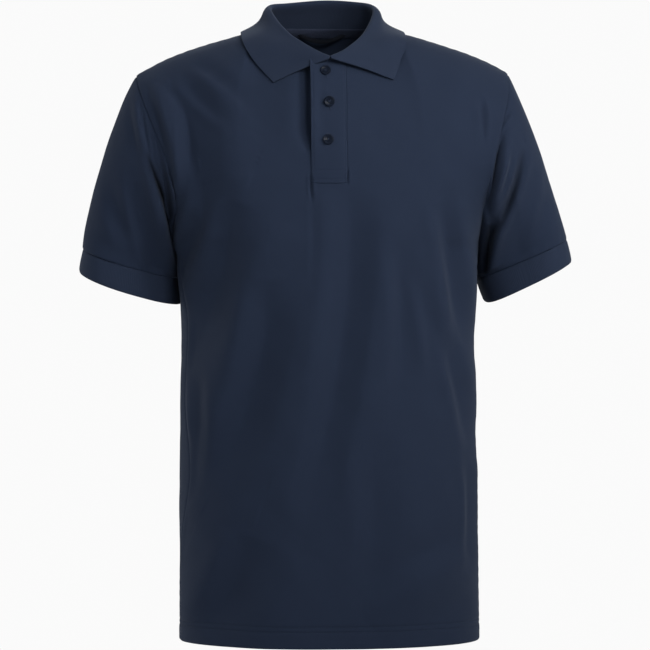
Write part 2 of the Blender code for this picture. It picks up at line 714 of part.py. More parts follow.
def make_hanger_loop():
    inward = PIQUE_WALL / 2 + TAPE_GAP + LOOP_WALL
    start = panel(BACK, 0.0, TAPE_ROWS[0], -inward)

    def loop_place(along, wide, depth):
        bow = LOOP_SAG * (1 - along * along)
        side = along * LOOP_HALF - NECK_CENTRE
        low = -LOOP_DROP - bow + wide * LOOP_WIDTH
        return start + Vector((side, -LOOP_BOW, low)) * MM - Vector((0, depth, 0))

    bm = sheet_grid(evenly(-1.0, 1.0, 10), [-0.5, 0.5])
    make_wall("hanger_loop", bm, loop_place, LOOP_WALL, TAPE_BLUE, 0.7)


clear_scene()
make_front()
make_back()
make_sleeve(-1, "right")
make_sleeve(1, "left")
make_collar()
make_plackets()
make_buttons()
make_neck_tape()
make_hanger_loop()
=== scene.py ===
"""A men's short-sleeved polo shirt in navy cotton pique, filled out as if worn.

Metres, +Z up. The shirt faces -Y and the wearer's left is at +X. The origin is midway
between the two neck points. Cut sizes are in millimetres until they are laid in place.
"""
import json
import math

import bmesh
import bpy
import numpy as np
from mathutils import Matrix, Vector

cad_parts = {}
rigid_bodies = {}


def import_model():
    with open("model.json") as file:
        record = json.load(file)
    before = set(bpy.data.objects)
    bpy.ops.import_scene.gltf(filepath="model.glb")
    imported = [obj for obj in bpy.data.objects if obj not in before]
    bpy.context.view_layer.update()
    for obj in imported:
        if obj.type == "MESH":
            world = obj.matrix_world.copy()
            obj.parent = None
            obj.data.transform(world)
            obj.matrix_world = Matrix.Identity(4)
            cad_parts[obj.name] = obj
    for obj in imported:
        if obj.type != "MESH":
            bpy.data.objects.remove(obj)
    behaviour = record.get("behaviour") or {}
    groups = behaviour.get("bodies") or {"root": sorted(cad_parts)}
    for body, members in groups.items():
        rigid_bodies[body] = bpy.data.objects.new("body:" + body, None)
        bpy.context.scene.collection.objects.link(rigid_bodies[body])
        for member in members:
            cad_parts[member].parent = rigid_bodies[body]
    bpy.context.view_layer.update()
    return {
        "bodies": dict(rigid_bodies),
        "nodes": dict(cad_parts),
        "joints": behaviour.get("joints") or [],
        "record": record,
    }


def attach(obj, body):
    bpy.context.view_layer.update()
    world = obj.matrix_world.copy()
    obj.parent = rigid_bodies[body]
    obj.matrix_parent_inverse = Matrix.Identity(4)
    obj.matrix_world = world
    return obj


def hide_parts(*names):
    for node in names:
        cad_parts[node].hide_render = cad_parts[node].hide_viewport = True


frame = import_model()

MM = 0.001


# ------------------------------------------------------------------ front
# The front is one piece of cotton pique, a knit with a small diamond grain, slashed down
# the middle for the placket. Its hem is turned up 25 mm and sewn with a twin needle, and
# it hangs in soft folds from the shoulders and the armholes.

def between(a, b, t):
    return a + (b - a) * t


def eased(t):
    t = np.clip(t, 0.0, 1.0)
    return t * t * (3.0 - 2.0 * t)


def bell(gap, reach):
    """1 on a line, falling softly away over its reach."""
    return np.exp(-((gap / reach) ** 2))


def unit(arrows):
    return arrows / np.linalg.norm(arrows, axis=-1, keepdims=True)


def stops(first, *stretches):
    """Values from the first on. Each stretch is a number of steps and where it ends."""
    values = [first]
    for count, last in stretches:
        values += list(np.linspace(values[-1], last, count + 1))[1:]
    return values


def curve_through(marks, values, keys):
    """Values at each key, on a smooth curve through those at the marks."""
    marks = np.asarray(marks, float)
    last = len(marks) - 1
    keys = np.clip(keys, marks[0], marks[last])
    i = np.clip(np.searchsorted(marks, keys, side="right") - 1, 0, last - 1)

    def pick(k):
        index = np.broadcast_to(k[None, ..., None], (1, *k.shape, 1))
        return np.take_along_axis(values, index, 0)[0]

    behind, ahead = np.maximum(i - 1, 0), np.minimum(i + 2, last)
    gap = (marks[i + 1] - marks[i])[..., None]
    slope_a = (pick(i + 1) - pick(behind)) / (marks[i + 1] - marks[behind])[..., None]
    slope_b = (pick(ahead) - pick(i)) / (marks[ahead] - marks[i])[..., None]
    t = (keys - marks[i])[..., None] / gap
    return (
        (2 * t**3 - 3 * t**2 + 1) * pick(i)
        + (t**3 - 2 * t**2 + t) * gap * slope_a
        + (3 * t**2 - 2 * t**3) * pick(i + 1)
        + (t**3 - t**2) * gap * slope_b
    )


def read_table(rows, keys):
    """The columns of a table after its first, read at each key of the first."""
    table = np.array(rows, float)
    keys = np.asarray(keys, float)
    values = table[:, 1:].reshape(len(table), *[1] * keys.ndim, -1)
    values = np.broadcast_to(values, (len(table), *keys.shape, values.shape[-1]))
    return np.moveaxis(curve_through(table[:, 0], values, keys), -1, 0)


# Body sections from the hem to the armpit. low_x and high_x are the two sides, front and
# back the depths at the middle, square how square the section is (2 is an ellipse). The
# rolls are how far each side seam is turned to the front, in degrees.
HEM_Z, ARMPIT_Z = -722.0, -250.0
BODY = (
    # z, low_x, high_x, front, back, side, square, low_roll, high_roll
    (-722, -172, 183.5, -117, 108, 6, 2.35, 4, 0),
    (-620, -172, 181, -118, 108, 6, 2.35, 8, 5),
    (-520, -171, 179.5, -119, 108, 6, 2.3, 22, 8),
    (-430, -170, 176.5, -121, 109, 6, 2.3, 13, 2),
    (-345, -169.5, 176, -123, 112, 6, 2.3, 17, 0),
    (-290, -173, 180, -124, 114, 5, 2.3, 8, 0),
    (-250, -177, 182.5, -125, 115, 5, 2.3, 0, 0),
)
HEM_LIFT, HEM_REACH = 2.5, 1 / 3

# Armhole edges from the armpit (rise 0) to the shoulder point (rise 1).
ARMHOLE = (
    # rise, low_x, high_x
    (0, -177, 182.5),
    (0.15, -178, 183.5),
    (0.3, -184, 188),
    (0.5, -198, 198),
    (0.75, -213, 210),
    (1, -222, 217),
)
SEAM_TURN, ARMHOLE_TURN, ARMHOLE_EASE, CHEST_ROUND = 0.00005, 0.36, 2.2, 2.5
TURN_BLEND, YOKE_RISE = 0.09, 246.0
SHOULDER_Z = (-55.0, -50.0)
SHOULDER_CURL = 0.22

# The neckline is an arch, lower at the front than at the back.
FRONT, BACK = -1, 1
NECK_CENTRE, NECK_HALF, NECK_RIDGE = -2.0, 79.0, 5.0
NECK = {FRONT: (-78.0, -45.0), BACK: (58.0, 3.5)}
ARMHOLE_DEPTH = {FRONT: -92.0, BACK: 90.0}
LEAN = {FRONT: math.radians(55), BACK: math.radians(75)}
RIDGE_LEAN = math.radians(88)

# Columns of a body panel: the placket zone, then the neckline, then the shoulder.
PLACKET_ZONE, NECK_ZONE = 0.14, 0.44
ZONE_HALF, ZONE_CENTRE, ZONE_LOW, ZONE_BLEND = 30.0, -4.2, -420.0, 200.0
PANEL_STEP = 0.004
SEAM_GAP = 0.02


def neck_turn(a):
    """How far round the neckline a column is from its middle, in radians."""
    near = np.arcsin(np.clip(ZONE_HALF * a / PLACKET_ZONE / NECK_HALF, 0, 1))
    t = (a - PLACKET_ZONE) / (NECK_ZONE - PLACKET_ZONE)
    wide = between(math.asin(ZONE_HALF / NECK_HALF), math.pi / 2, t)
    return np.where(a < PLACKET_ZONE, near, wide)


def neck_and_shoulder(side, across):
    """A panel's top edge, and how far the cloth has turned toward level there."""
    hand, a = np.where(across < 0, -1, 1), np.abs(across)
    depth, height = NECK[side]
    ridge = NECK_RIDGE + side * SEAM_GAP / 2
    turn = neck_turn(a)
    neckline = (
        NECK_CENTRE + hand * NECK_HALF * np.sin(turn),
        ridge + (depth - NECK_RIDGE) * np.cos(turn),
        height * np.cos(turn),
        between(RIDGE_LEAN, LEAN[side], np.cos(turn)),
    )
    t = (a - NECK_ZONE) / (1 - NECK_ZONE)
    end = np.where(hand < 0, ARMHOLE[-1][1], ARMHOLE[-1][2])
    drop = np.where(hand < 0, *SHOULDER_Z)
    shoulder = (
        between(NECK_CENTRE + hand * NECK_HALF, end, t),
        ridge + 0 * t,
        drop * ((1 - SHOULDER_CURL) * t + SHOULDER_CURL * t**4),
        RIDGE_LEAN + 0 * t,
    )
    return [np.where(a < NECK_ZONE, low, high) for low, high in zip(neckline, shoulder)]


def panel_form(side, across, up):
    """The smooth form of the front or back. up is 0 at the hem, 1 at the armpit and 2 at
    the shoulder and neckline; across runs from -1 to 1."""
    rise = np.maximum(up - 1.0, 0.0)
    z = between(HEM_Z, ARMPIT_Z, np.minimum(up, 1.0))
    low_x, high_x, front, back, seam, square, low_roll, high_roll = read_table(BODY, z)
    middle, other = (front, back) if side == FRONT else (back, front)
    arm_low, arm_high = read_table(ARMHOLE, rise)
    low_x, high_x = np.where(rise > 0, arm_low, low_x), np.where(rise > 0, arm_high, high_x)
    hand, a = np.where(across < 0, -1, 1), np.abs(across)
    centre = between((low_x + high_x) / 2, ZONE_CENTRE, eased((z - ZONE_LOW) / ZONE_BLEND))
    half = np.abs(np.where(hand < 0, low_x, high_x) - centre)
    roll = np.radians(np.where(hand < 0, low_roll, high_roll))
    beyond = np.maximum(a - PLACKET_ZONE, 0.0) / (1 - PLACKET_ZONE)
    angle = (math.pi / 2 - SEAM_TURN + side * roll) * beyond
    straight = ZONE_HALF * a / PLACKET_ZONE
    reach = np.where(a < PLACKET_ZONE, straight, between(ZONE_HALF, half, np.sin(angle)))
    share = np.minimum(reach / half, 1.0)
    turned = eased(rise / ARMHOLE_TURN)
    square = between(square, CHEST_ROUND, turned)
    edge = seam + side * SEAM_GAP / 2
    climb = np.where(up < 1, (up - 1.0) * (ARMPIT_Z - HEM_Z) / YOKE_RISE, rise)
    climb = (np.hypot(climb, TURN_BLEND * (1 - share**4)) + climb) / 2
    come_in = 1 - (1 - np.minimum(climb / ARMHOLE_TURN, 1.0)) ** ARMHOLE_EASE
    edge = between(edge, ARMHOLE_DEPTH[side], come_in)
    flat = np.maximum(1.0 - share**square, 0.0) ** between(1 / square, 1.0, turned)
    x = centre + hand * reach
    y = edge + (np.where(angle <= math.pi / 2, middle, other) - edge) * flat
    z = z + HEM_LIFT * share**2 * np.maximum(1.0 - up / HEM_REACH, 0.0) ** 2
    top_x, top_y, top_z, lean = neck_and_shoulder(side, across)
    bend = rise * lean
    climb = np.sin(bend) / np.sin(lean)
    x = between(x, top_x, climb * eased(rise))
    to_ridge = (y - top_y) * (np.cos(bend) - np.cos(lean)) / (1 - np.cos(lean))
    y = np.where(rise > 0, top_y + to_ridge, y)
    z = between(z, top_z, climb)
    return np.stack((x, y, z), -1)


# Folds as they are seen from the front: the start, middle and end of each trough, how wide
# its slope is on the wearer's right and on the left, and its depth. A ridge has a depth
# below zero. Each slope ends at a crest.
FRONT_FOLDS = (
    # x0, z0, x1, z1, x2, z2, right width, left width, depth
    (-104, -206, -132, -286, -160, -405, 24, 38, 14),
    (-158, -222, -167, -262, -172, -310, 9, 22, 9),
    (-74, -292, -88, -404, -136, -540, 28, 38, 12),
    (19, -184, 14, -352, -34, -590, 26, 32, 11),
    (76, -252, 82, -330, 78, -420, 16, 22, 6),
    (100, -285, 112, -345, 121, -405, 12, 14, 5),
    (128, -204, 145, -288, 162, -385, 17, 18, 11),
    (126, -345, 152, -425, 167, -500, 13, 17, 7),
    (-203, -66, -187, -120, -170, -192, 10, 12, -8),
    (-181, -74, -165, -130, -172, -214, 9, 42, 11),
    (-150, -180, -150, -222, -166, -286, 16, 40, 8),
    (-160, -42, -131, -62, -98, -94, 9, 15, 3),
    (-172, -58, -148, -88, -110, -122, 10, 16, 3.4),
    (178, -82, 180, -108, 179, -138, 7, 5, 3),
    (-92, -590, -116, -650, -148, -712, 24, 52, 12),
    (40, -694, 98, -648, 170, -622, 26, 44, -8),
    (-25.3, -176, -25, -190, -24, -206, 2.4, 3.4, 3.2),
    (-24, -192, -22, -246, -24, -312, 6, 9, 0.8),
    (17.6, -168, 17.6, -178, 17.4, -188, 1.8, 2.2, 2),
    (40, -470, 50, -560, 38, -650, 24, 32, 5),
    (-158, -400, -150, -462, -164, -545, 9, 13, 5.5),
    (160, -500, 166, -560, 163, -630, 9, 12, 5),
)
FOLD_BED, FOLD_CREST, FOLD_LIP, LIP_PLACE, LIP_WIDTH = 0.2, 0.14, 0.34, 1.2, 0.6
FOLD_ENDS, FOLD_TAPER, CREASE_TAPER, FOLD_POINTS = (0.02, 0.98), 0.7, 0.8, 9

# Between the folds the cloth is never quite flat: long low waves, crossing each other.
WAVES = (
    # length across, length up, slant, depth
    (170, 410, 0.35, 0.9),
    (96, 240, -0.5, 0.6),
    (61, 133, 0.8, 0.34),
    (37, 71, -0.9, 0.16),
    (23, 31, 0.4, 0.07),
)
WAVE_SHIFT, WAVE_BEND, WAVE_BEAT = 1.7, 0.12, 2.3


def fold_lines(rows):
    """Each fold as points along its curved line, with its widths and its depth."""
    t = np.linspace(0.0, 1.0, FOLD_POINTS)
    folds = []
    for x0, z0, x1, z1, x2, z2, right, left, depth in rows:
        start, middle, end = np.array((x0, z0)), np.array((x1, z1)), np.array((x2, z2))
        pull = 2 * middle - (start + end) / 2
        line = np.outer((1 - t) ** 2, start) + np.outer(2 * t * (1 - t), pull)
        line += np.outer(t * t, end)
        folds.append((line, right, left, depth))
    return folds


def from_line(line, x, z):
    """How far places are from a line, how far along it they are, from 0 to 1, and whether
    they are on the wearer's right of it."""
    nearest, along, beside = np.full(np.shape(x), 1e9), np.zeros(np.shape(x)), np.zeros(np.shape(x))
    for i, ((ax, az), (bx, bz)) in enumerate(zip(line, line[1:])):
        ux, uz = bx - ax, bz - az
        t = np.clip(((x - ax) * ux + (z - az) * uz) / (ux * ux + uz * uz), 0, 1)
        distance = np.hypot(x - ax - t * ux, z - az - t * uz)
        closer = distance < nearest
        nearest = np.where(closer, distance, nearest)
        along = np.where(closer, (i + t) / (len(line) - 1), along)
        beside = np.where(closer, (x - ax) * uz - (z - az) * ux, beside)
    return nearest, along, beside * np.sign(line[-1][1] - line[0][1]) < 0


def fold_depth(folds, x, z):
    """How far the folds move the cloth inward at places seen from the front."""
    total = np.zeros(np.shape(x))
    for line, right, left, depth in folds:
        nearest, along, on_right = from_line(line, x, z)
        share = np.hypot(nearest / np.where(on_right, right, left), FOLD_BED)
        slope = (1 - share + np.hypot(1 - share, FOLD_CREST)) / 2
        profile = slope - FOLD_LIP * bell(share - LIP_PLACE, LIP_WIDTH)
        total += depth * np.sin(math.pi * np.clip(along, *FOLD_ENDS)) ** FOLD_TAPER * profile
    return total


def crease_shade(creases, x, z):
    """How tight the creases are, from 0 to 1, at places seen from the front; the sleeves paint this
    on the cloth as shade.
    """
    total = np.zeros(np.shape(x))
    for line, right, left, dark in creases:
        nearest, along, on_right = from_line(line, x, z)
        across_it = bell(nearest, np.where(on_right, right, left))
        total += dark * across_it * np.sin(math.pi * along) ** CREASE_TAPER
    return np.minimum(total, 1.0)


def wave_depth(x, z, start):
    """The low waves of loose cloth, started at another place for each piece."""
    total = np.zeros(np.shape(x))
    for number, (wide, high, slant, depth) in enumerate(WAVES):
        phase = start + WAVE_SHIFT * number
        bent = x + WAVE_BEND * wide * np.sin(z / high * math.pi + phase)
        wave = np.sin(math.tau * (bent / wide + slant * z / high) + phase)
        total += depth * wave * np.cos(math.tau * z / high + WAVE_BEAT * phase)
    return total


# A seam pulls both cloths in along its line and puckers them a little. The turned-up hem
# is held by two rows of stitches, and the cloth swells slightly between them.
SEAM_SINK, SEAM_REACH, SEAM_CALM = 0.6, 1.5, 15.0
SEAM_WAVES, SEAM_WAVE_START = 0.6, 1.1
PUCKER, PUCKER_REACH, PUCKER_LENGTH = 0.22, 9.0, 13.0
PUCKER_DRIFT, DRIFT_LENGTH = 1.3, 31.0
HEM_ROWS = (19.0, 25.0)
HEM_GROOVE, HEM_GROOVE_HALF, HEM_ROUND, HEM_INSET = 0.6, 1.1, 1.6, 1.7
PANEL_RISE = ARMPIT_Z - HEM_Z
FOLDS = {FRONT: fold_lines(FRONT_FOLDS)}
WAVE_START = {FRONT: 0.4, BACK: 2.9}


def seam_depth(gap, along):
    """How far a seam draws the cloth in, at a distance from it and along it, in mm."""
    drift = PUCKER_DRIFT * np.sin(along / DRIFT_LENGTH)
    pucker = PUCKER * np.sin(math.tau * along / PUCKER_LENGTH + drift)
    near = bell(gap, SEAM_REACH)
    return SEAM_SINK * near + pucker * np.exp(-gap / PUCKER_REACH) * (1 - near)


def panel_and_out(side, across, up, lift=0.0):
    """Places on the front or back, lift mm outside the middle of its cloth, and the
    directions out of it. Below the hem's fold, up counts back up inside the shirt."""
    across, up = np.broadcast_arrays(np.asarray(across, float), np.asarray(up, float))
    level = np.abs(up)
    ahead = np.where((across < 0) | (level < 1), PANEL_STEP, 0.0)
    behind = np.where((across >= 0) | (level < 1), PANEL_STEP, 0.0)
    step_u = np.where(level > 1, -PANEL_STEP, PANEL_STEP)
    here = panel_form(side, across, level)
    along = panel_form(side, across + ahead, level) - panel_form(side, across - behind, level)
    along /= (ahead + behind)[..., None]
    rising = (panel_form(side, across, level + step_u) - here) / step_u[..., None]
    out = unit(np.cross(along, rising) * -side)
    x, z = here[..., 0], here[..., 2]
    a, wide, high = np.abs(across), np.linalg.norm(along, axis=-1), np.linalg.norm(rising, axis=-1)
    side_gap, top_gap = (1 - a) * wide, (2 - level) * high
    from_side = np.hypot(side_gap, np.maximum(level - 1, 0) * high)
    from_top = np.hypot(top_gap, np.maximum(NECK_ZONE - a, 0) * wide)
    loose = eased(np.minimum(from_side, from_top) / SEAM_CALM)
    depth = (fold_depth(FOLDS[side], x, z) + wave_depth(x, z, WAVE_START[side])) * loose
    depth += SEAM_WAVES * wave_depth(x, z, SEAM_WAVE_START) * (1 - loose)
    depth += seam_depth(side_gap, z) + seam_depth(from_top, x)
    for row in HEM_ROWS:
        depth += HEM_GROOVE * bell(level * PANEL_RISE - row, HEM_GROOVE_HALF)
    depth += HEM_INSET * (1 - eased(0.5 + up * PANEL_RISE / HEM_ROUND / 2))
    return (here + out * (lift - depth)[..., None]) * MM, out


def panel(side, across, up, lift=0.0):
    return panel_and_out(side, across, up, lift)[0]


# Pique: staggered pits, one for each pair of tucked stitches, in a fuzzy cotton yarn. The pits are
# painted darker, as shade.
PIQUE_WIDE, PIQUE_HIGH, PIT_SHARPNESS = 1.9 * MM, 1.5 * MM, 1.6
NAVY, NAVY_PIT_SHADE_AND_DARK_YARN = (0.0161, 0.0250, 0.0478, 1.0), (0.0110, 0.0172, 0.0350, 1.0)
# Painted shade: the near-black navy that tight creases and the collar's stand are darkened toward.
PAINTED_CREASE_SHADE = (0.0012, 0.0018, 0.0034, 1.0)
COTTON_SHEEN, COTTON_SPECULAR = (0.42, 0.50, 0.66, 1.0), 0.12
YARN_GRAINS = 2600.0


def add_node(tree, kind, settings=(), **inputs):
    """A node of a kind, with its settings, its plain inputs set and its links made."""
    node = tree.nodes.new(kind)
    for name, value in dict(settings).items():
        setattr(node, name, value)
    for name, value in inputs.items():
        by_place = name[0] == "i" and name[1:].isdigit()
        socket = node.inputs[int(name[1:]) if by_place else name]
        if isinstance(value, bpy.types.NodeSocket):
            tree.links.new(value, socket)
        else:
            socket.default_value = value
    return node


def maths(tree, operation, *values):
    inputs = {"i%d" % place: value for place, value in enumerate(values)}
    return add_node(tree, "ShaderNodeMath", {"operation": operation}, **inputs).outputs[0]


def mixed(tree, share, low, high):
    """A colour between two, by a share from 0 to 1."""
    mix = add_node(tree, "ShaderNodeMix", {"data_type": "RGBA"}, i0=share, i6=low, i7=high)
    return mix.outputs[2]


def new_material(name, roughness, specular):
    made = bpy.data.materials.new(name)
    made.use_nodes = True
    shader = made.node_tree.nodes["Principled BSDF"]
    shader.inputs["Roughness"].default_value = roughness
    shader.inputs["Specular IOR Level"].default_value = specular
    return made, made.node_tree, shader


def new_cloth(name, roughness, sheen):
    """A material with its shader, in soft matt fibre."""
    made, tree, shader = new_material(name, roughness, COTTON_SPECULAR)
    shader.inputs["Sheen Weight"].default_value = sheen
    shader.inputs["Sheen Roughness"].default_value = 0.45
    shader.inputs["Sheen Tint"].default_value = COTTON_SHEEN
    return made, tree, shader


def on_cloth(tree):
    """The cloth's own places, and their two parts, in metres."""
    flat = add_node(tree, "ShaderNodeUVMap", {"uv_map": "cloth"}).outputs[0]
    parts = add_node(tree, "ShaderNodeSeparateXYZ", i0=flat)
    return flat, parts.outputs[0], parts.outputs[1]


def with_painted_shade(tree, colour):
    """A cloth's colour with painted shade: darkened toward near-black where each place is marked as
    shaded, in tight creases and inside the collar's stand, where the light doesn't get in.
    """
    tight = add_node(tree, "ShaderNodeAttribute", {"attribute_name": "painted_shade"}).outputs[2]
    return mixed(tree, tight, colour, PAINTED_CREASE_SHADE)


def speckle(tree, place, scale, detail=2.0, roughness=0.6):
    """Uneven yarn: noise from 0 to 1 at so many grains a metre."""
    noise = add_node(tree, "ShaderNodeTexNoise", {"noise_dimensions": "3D"}, Vector=place,
                     Scale=scale, Detail=detail, Roughness=roughness)
    return noise.outputs[0]


def ripple(tree, place, period, shape="COSINE"):
    """A wave along the cloth, from -1 to 1, once in each period."""
    return maths(tree, shape, maths(tree, "MULTIPLY", place, math.tau / period))


def dress(tree, shader, colour, height, strength, depth):
    """A material's colour, and its grain as bumps so many mm deep."""
    bump = add_node(tree, "ShaderNodeBump", Strength=strength, Distance=depth * MM, Height=height)
    tree.links.new(colour, shader.inputs["Base Color"])
    tree.links.new(bump.outputs[0], shader.inputs["Normal"])


def pique_cloth():
    made, tree, shader = new_cloth("navy_pique", 0.9, 0.08)
    flat, u, v = on_cloth(tree)
    crossed = maths(tree, "SUBTRACT", ripple(tree, u, PIQUE_WIDE), ripple(tree, v, PIQUE_HIGH))
    pit = maths(tree, "MULTIPLY", maths(tree, "ABSOLUTE", crossed), 0.5)
    pit = maths(tree, "POWER", pit, PIT_SHARPNESS)
    yarn, patch = speckle(tree, flat, YARN_GRAINS), speckle(tree, flat, 38.0, 3.0)
    height = maths(tree, "SUBTRACT", maths(tree, "MULTIPLY", yarn, 0.35), pit)
    # Painted shade: the pits darken the colour; the yarn and patches vary its tone at random.
    shade = maths(tree, "MULTIPLY_ADD", yarn, 0.5, maths(tree, "MULTIPLY", patch, 0.35))
    shade = maths(tree, "SUBTRACT", 1.15, maths(tree, "ADD", pit, shade))
    dress(tree, shader, with_painted_shade(tree, mixed(tree, shade, NAVY_PIT_SHADE_AND_DARK_YARN, NAVY)), height, 0.55, 0.30)
    return made


PIQUE = pique_cloth()
PIQUE_WALL = 1.1


def run_along(points, axis=0):
    """How far each point is along its line."""
    run = np.linalg.norm(np.diff(points, axis=axis), axis=-1).cumsum(axis=axis)
    return np.pad(run, [(int(place == axis), 0) for place in range(run.ndim)])


def cloth_grid(columns, rows, places, closed=False, missing=None, width=None, creases=None):
    """A grid laid on its places, with a UV map in metres of cloth. A closed one is a tube,
    sewn along its first and last columns. missing says which faces are cut away. A piece
    knitted to a width, in metres, has its wales along its columns. creases gives each
    place its painted shade, from 0 to 1, which darkens the cloth's colour."""
    bm = bmesh.new()
    flat = bm.loops.layers.uv.new("cloth")
    # Each place's painted shade, which darkens the cloth's colour.
    tight = bm.verts.layers.float.new("painted_shade")
    wide, high = len(columns) - 1, len(rows) - 1
    bmesh.ops.create_grid(bm, x_segments=wide, y_segments=high, size=1.0)
    if missing:
        gone = []
        for face in bm.faces:
            middle = face.calc_center_median()
            across = np.interp((middle.x + 1) / 2 * wide, range(wide + 1), columns)
            up = np.interp((middle.y + 1) / 2 * high, range(high + 1), rows)
            if missing(across, up):
                gone.append(face)
        bmesh.ops.delete(bm, geom=gone, context="FACES")
    over, rise = run_along(places, 1), run_along(places)
    over -= over[:, wide // 2:wide // 2 + 1]
    if width:
        even = np.array(columns) * width / (columns[-1] - columns[0])
        over = np.broadcast_to(even, places.shape[:2])
    spots = {}
    for point in bm.verts:
        spots[point] = (round((point.co.y + 1) / 2 * high), round((point.co.x + 1) / 2 * wide))
        point.co = places[spots[point]]
        if creases is not None:
            point[tight] = creases[spots[point]]
    for face in bm.faces:
        for loop in face.loops:
            spot = spots[loop.vert]
            loop[flat].uv = (over[spot], rise[spot])
    if closed:
        ends = {}
        for point, (row, column) in spots.items():
            if column in (0, wide):
                ends.setdefault(row, {})[column] = point
        bmesh.ops.weld_verts(bm, targetmap={pair[wide]: pair[0] for pair in ends.values()})
    return bm


def finished(name, bm, material=None):
    """A named, smooth-shaded object made from a bmesh, standing at the origin."""
    mesh = bpy.data.meshes.new(name)
    bm.to_mesh(mesh)
    bm.free()
    mesh.shade_smooth()
    if material:
        mesh.materials.append(material)
    piece = bpy.data.objects.new(name, mesh)
    bpy.context.scene.collection.objects.link(piece)
    return piece


def belongs(piece, slot, *nodes):
    """Every piece rides on the shirt and stands for its nodes, which are hidden; slot is not used.
    """
    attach(piece, "root")
    if nodes:
        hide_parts(*nodes)


EDGE_SOFTENED, EDGE_ANGLE = 0.3, math.radians(75)


def cloth_piece(name, node, slot, cloth, wall, columns, rows, places, flip=False, **grid):
    """A piece of cloth laid on its places, with half of its thickness on each side and
    softened raw edges. flip turns its faces out."""
    piece = finished(name, cloth_grid(columns, rows, places, **grid), cloth)
    if flip:
        for face in piece.data.polygons:
            face.flip()
    shell = piece.modifiers.new("wall", "SOLIDIFY")
    shell.thickness = wall * MM
    shell.offset = 0.0
    edge = piece.modifiers.new("edge", "BEVEL")
    edge.width = wall * MM * EDGE_SOFTENED
    edge.segments = 2
    edge.limit_method = "ANGLE"
    edge.angle_limit = EDGE_ANGLE
    belongs(piece, slot, node)
    return piece


# The slash ends at the placket's box. Beside the placket's free edge the front lies back in
# a trough, so that the edge stands clear and throws a shadow.
SLIT_LEFT, SLIT_RIGHT, SLIT_FOOT = -17.0, 19.0, 1.322
DIP_DEPTH, DIP_PLACE, DIP_LEFT, DIP_RIGHT, DIP_FOOT, DIP_FADE = 9.5, -23.5, 9.5, 16.0, 1.38, 0.20

# The placket's foot is pressed into the front, which lies back under it.
STRIP_HALF, STRIP_FOOT, STRIP_NEAR = 20.5, 1.268, 1.258
BED_DEPTH, BED_BEYOND, BED_EDGE = 1.1, 0.6, 1.6
PLACKET_RISE = 205.0

# Rows of the grid in mm above the hem's fold. Those below zero are inside the shirt.
HEM_STOPS = (
    -27.0, -20.0, -14.0, -8.0, -4.0, -1.6, -0.8, 0.0, 0.8, 1.6, 4.0, 8.0, 12.0, 16.0, 17.8,
    18.4, 19.0, 19.6, 20.2, 22.0, 23.8, 24.4, 25.0, 25.6, 26.2,
)
HEM_TOP = 29.0


def column_at(x):
    """The column of the placket zone at a distance from the zone's middle."""
    return PLACKET_ZONE * x / ZONE_HALF


def strip_bed(across, up):
    """How far the front lies back under the upper placket."""
    x = np.abs(across) * ZONE_HALF / PLACKET_ZONE
    foot = (up - STRIP_FOOT) * PLACKET_RISE
    return BED_DEPTH * eased((np.minimum(STRIP_HALF - x, foot) + BED_BEYOND) / BED_EDGE)


def placket_dip(across, up):
    """How far the cloth beside the placket's free edge lies back."""
    x = across * ZONE_HALF / PLACKET_ZONE - DIP_PLACE
    beside = bell(x, np.where(x < 0, DIP_LEFT, DIP_RIGHT))
    return DIP_DEPTH * beside * eased((up - DIP_FOOT) / DIP_FADE)


def both_sides(half, middle):
    """Columns from side to side: a half and its mirror image, with a middle between."""
    return [-value for value in reversed(half)] + middle[1:-1] + half


side_half = stops(PLACKET_ZONE, (28, NECK_ZONE), (50, 1.0))
slit = [column_at(SLIT_LEFT), column_at(SLIT_RIGHT)]
middle_columns = stops(-PLACKET_ZONE, (14, slit[0]), (18, slit[1]), (10, PLACKET_ZONE))
columns = both_sides(side_half, middle_columns)
body_rows = [height / PANEL_RISE for height in HEM_STOPS] + stops(HEM_TOP / PANEL_RISE, (122, 1.0))
front_rows = body_rows + stops(1.0, (20, STRIP_NEAR), (14, SLIT_FOOT), (50, 2.0))[1:]

across, up = np.meshgrid(columns, front_rows)
places, out = panel_and_out(FRONT, across, up)
places -= out * (placket_dip(across, np.abs(up)) + strip_bed(across, np.abs(up)))[..., None] * MM
front = cloth_piece(
    "front_pique", "front_body", "pique", PIQUE, PIQUE_WALL, columns, front_rows, places,
    missing=lambda a, u: slit[0] < a < slit[1] and u > SLIT_FOOT,
)


# ------------------------------------------------------------------ back
# The back is one piece of the same pique, a little higher at the neck, joined to the front
# at the shoulders and down both sides. Its hem is turned up with the front's.
BACK_FOLDS = (
    # x0, z0, x1, z1, x2, z2, right width, left width, depth
    (-150, -185, -122, -290, -98, -415, 16, 34, 14),
    (150, -190, 128, -300, 110, -435, 36, 16, 14),
    (-35, -245, -46, -380, -28, -540, 34, 20, 11.5),
    (45, -300, 38, -420, 60, -580, 20, 34, 10.5),
    (-165, -270, -150, -340, -140, -420, 9, 15, 7),
    (164, -265, 152, -330, 146, -400, 15, 9, 6.5),
    (-105, -465, -94, -580, -112, -700, 26, 40, 11),
    (112, -505, 120, -600, 104, -706, 40, 26, 11),
    (5, -560, 0, -630, 12, -710, 28, 32, 6),
    (-196, -90, -172, -150, -160, -228, 12, 20, 9),
    (192, -86, 170, -150, 160, -224, 20, 12, 9),
    (-92, -30, -62, -66, -44, -118, 22, 18, 2.2),
    (98, -34, 76, -70, 66, -112, 18, 20, 1.6),
    (-185, -170, -181, -205, -176, -246, 6, 6, 3.5),
    (188, -170, 185, -205, 182, -246, 6, 6, 3.5),
)
FOLDS[BACK] = fold_lines(BACK_FOLDS)

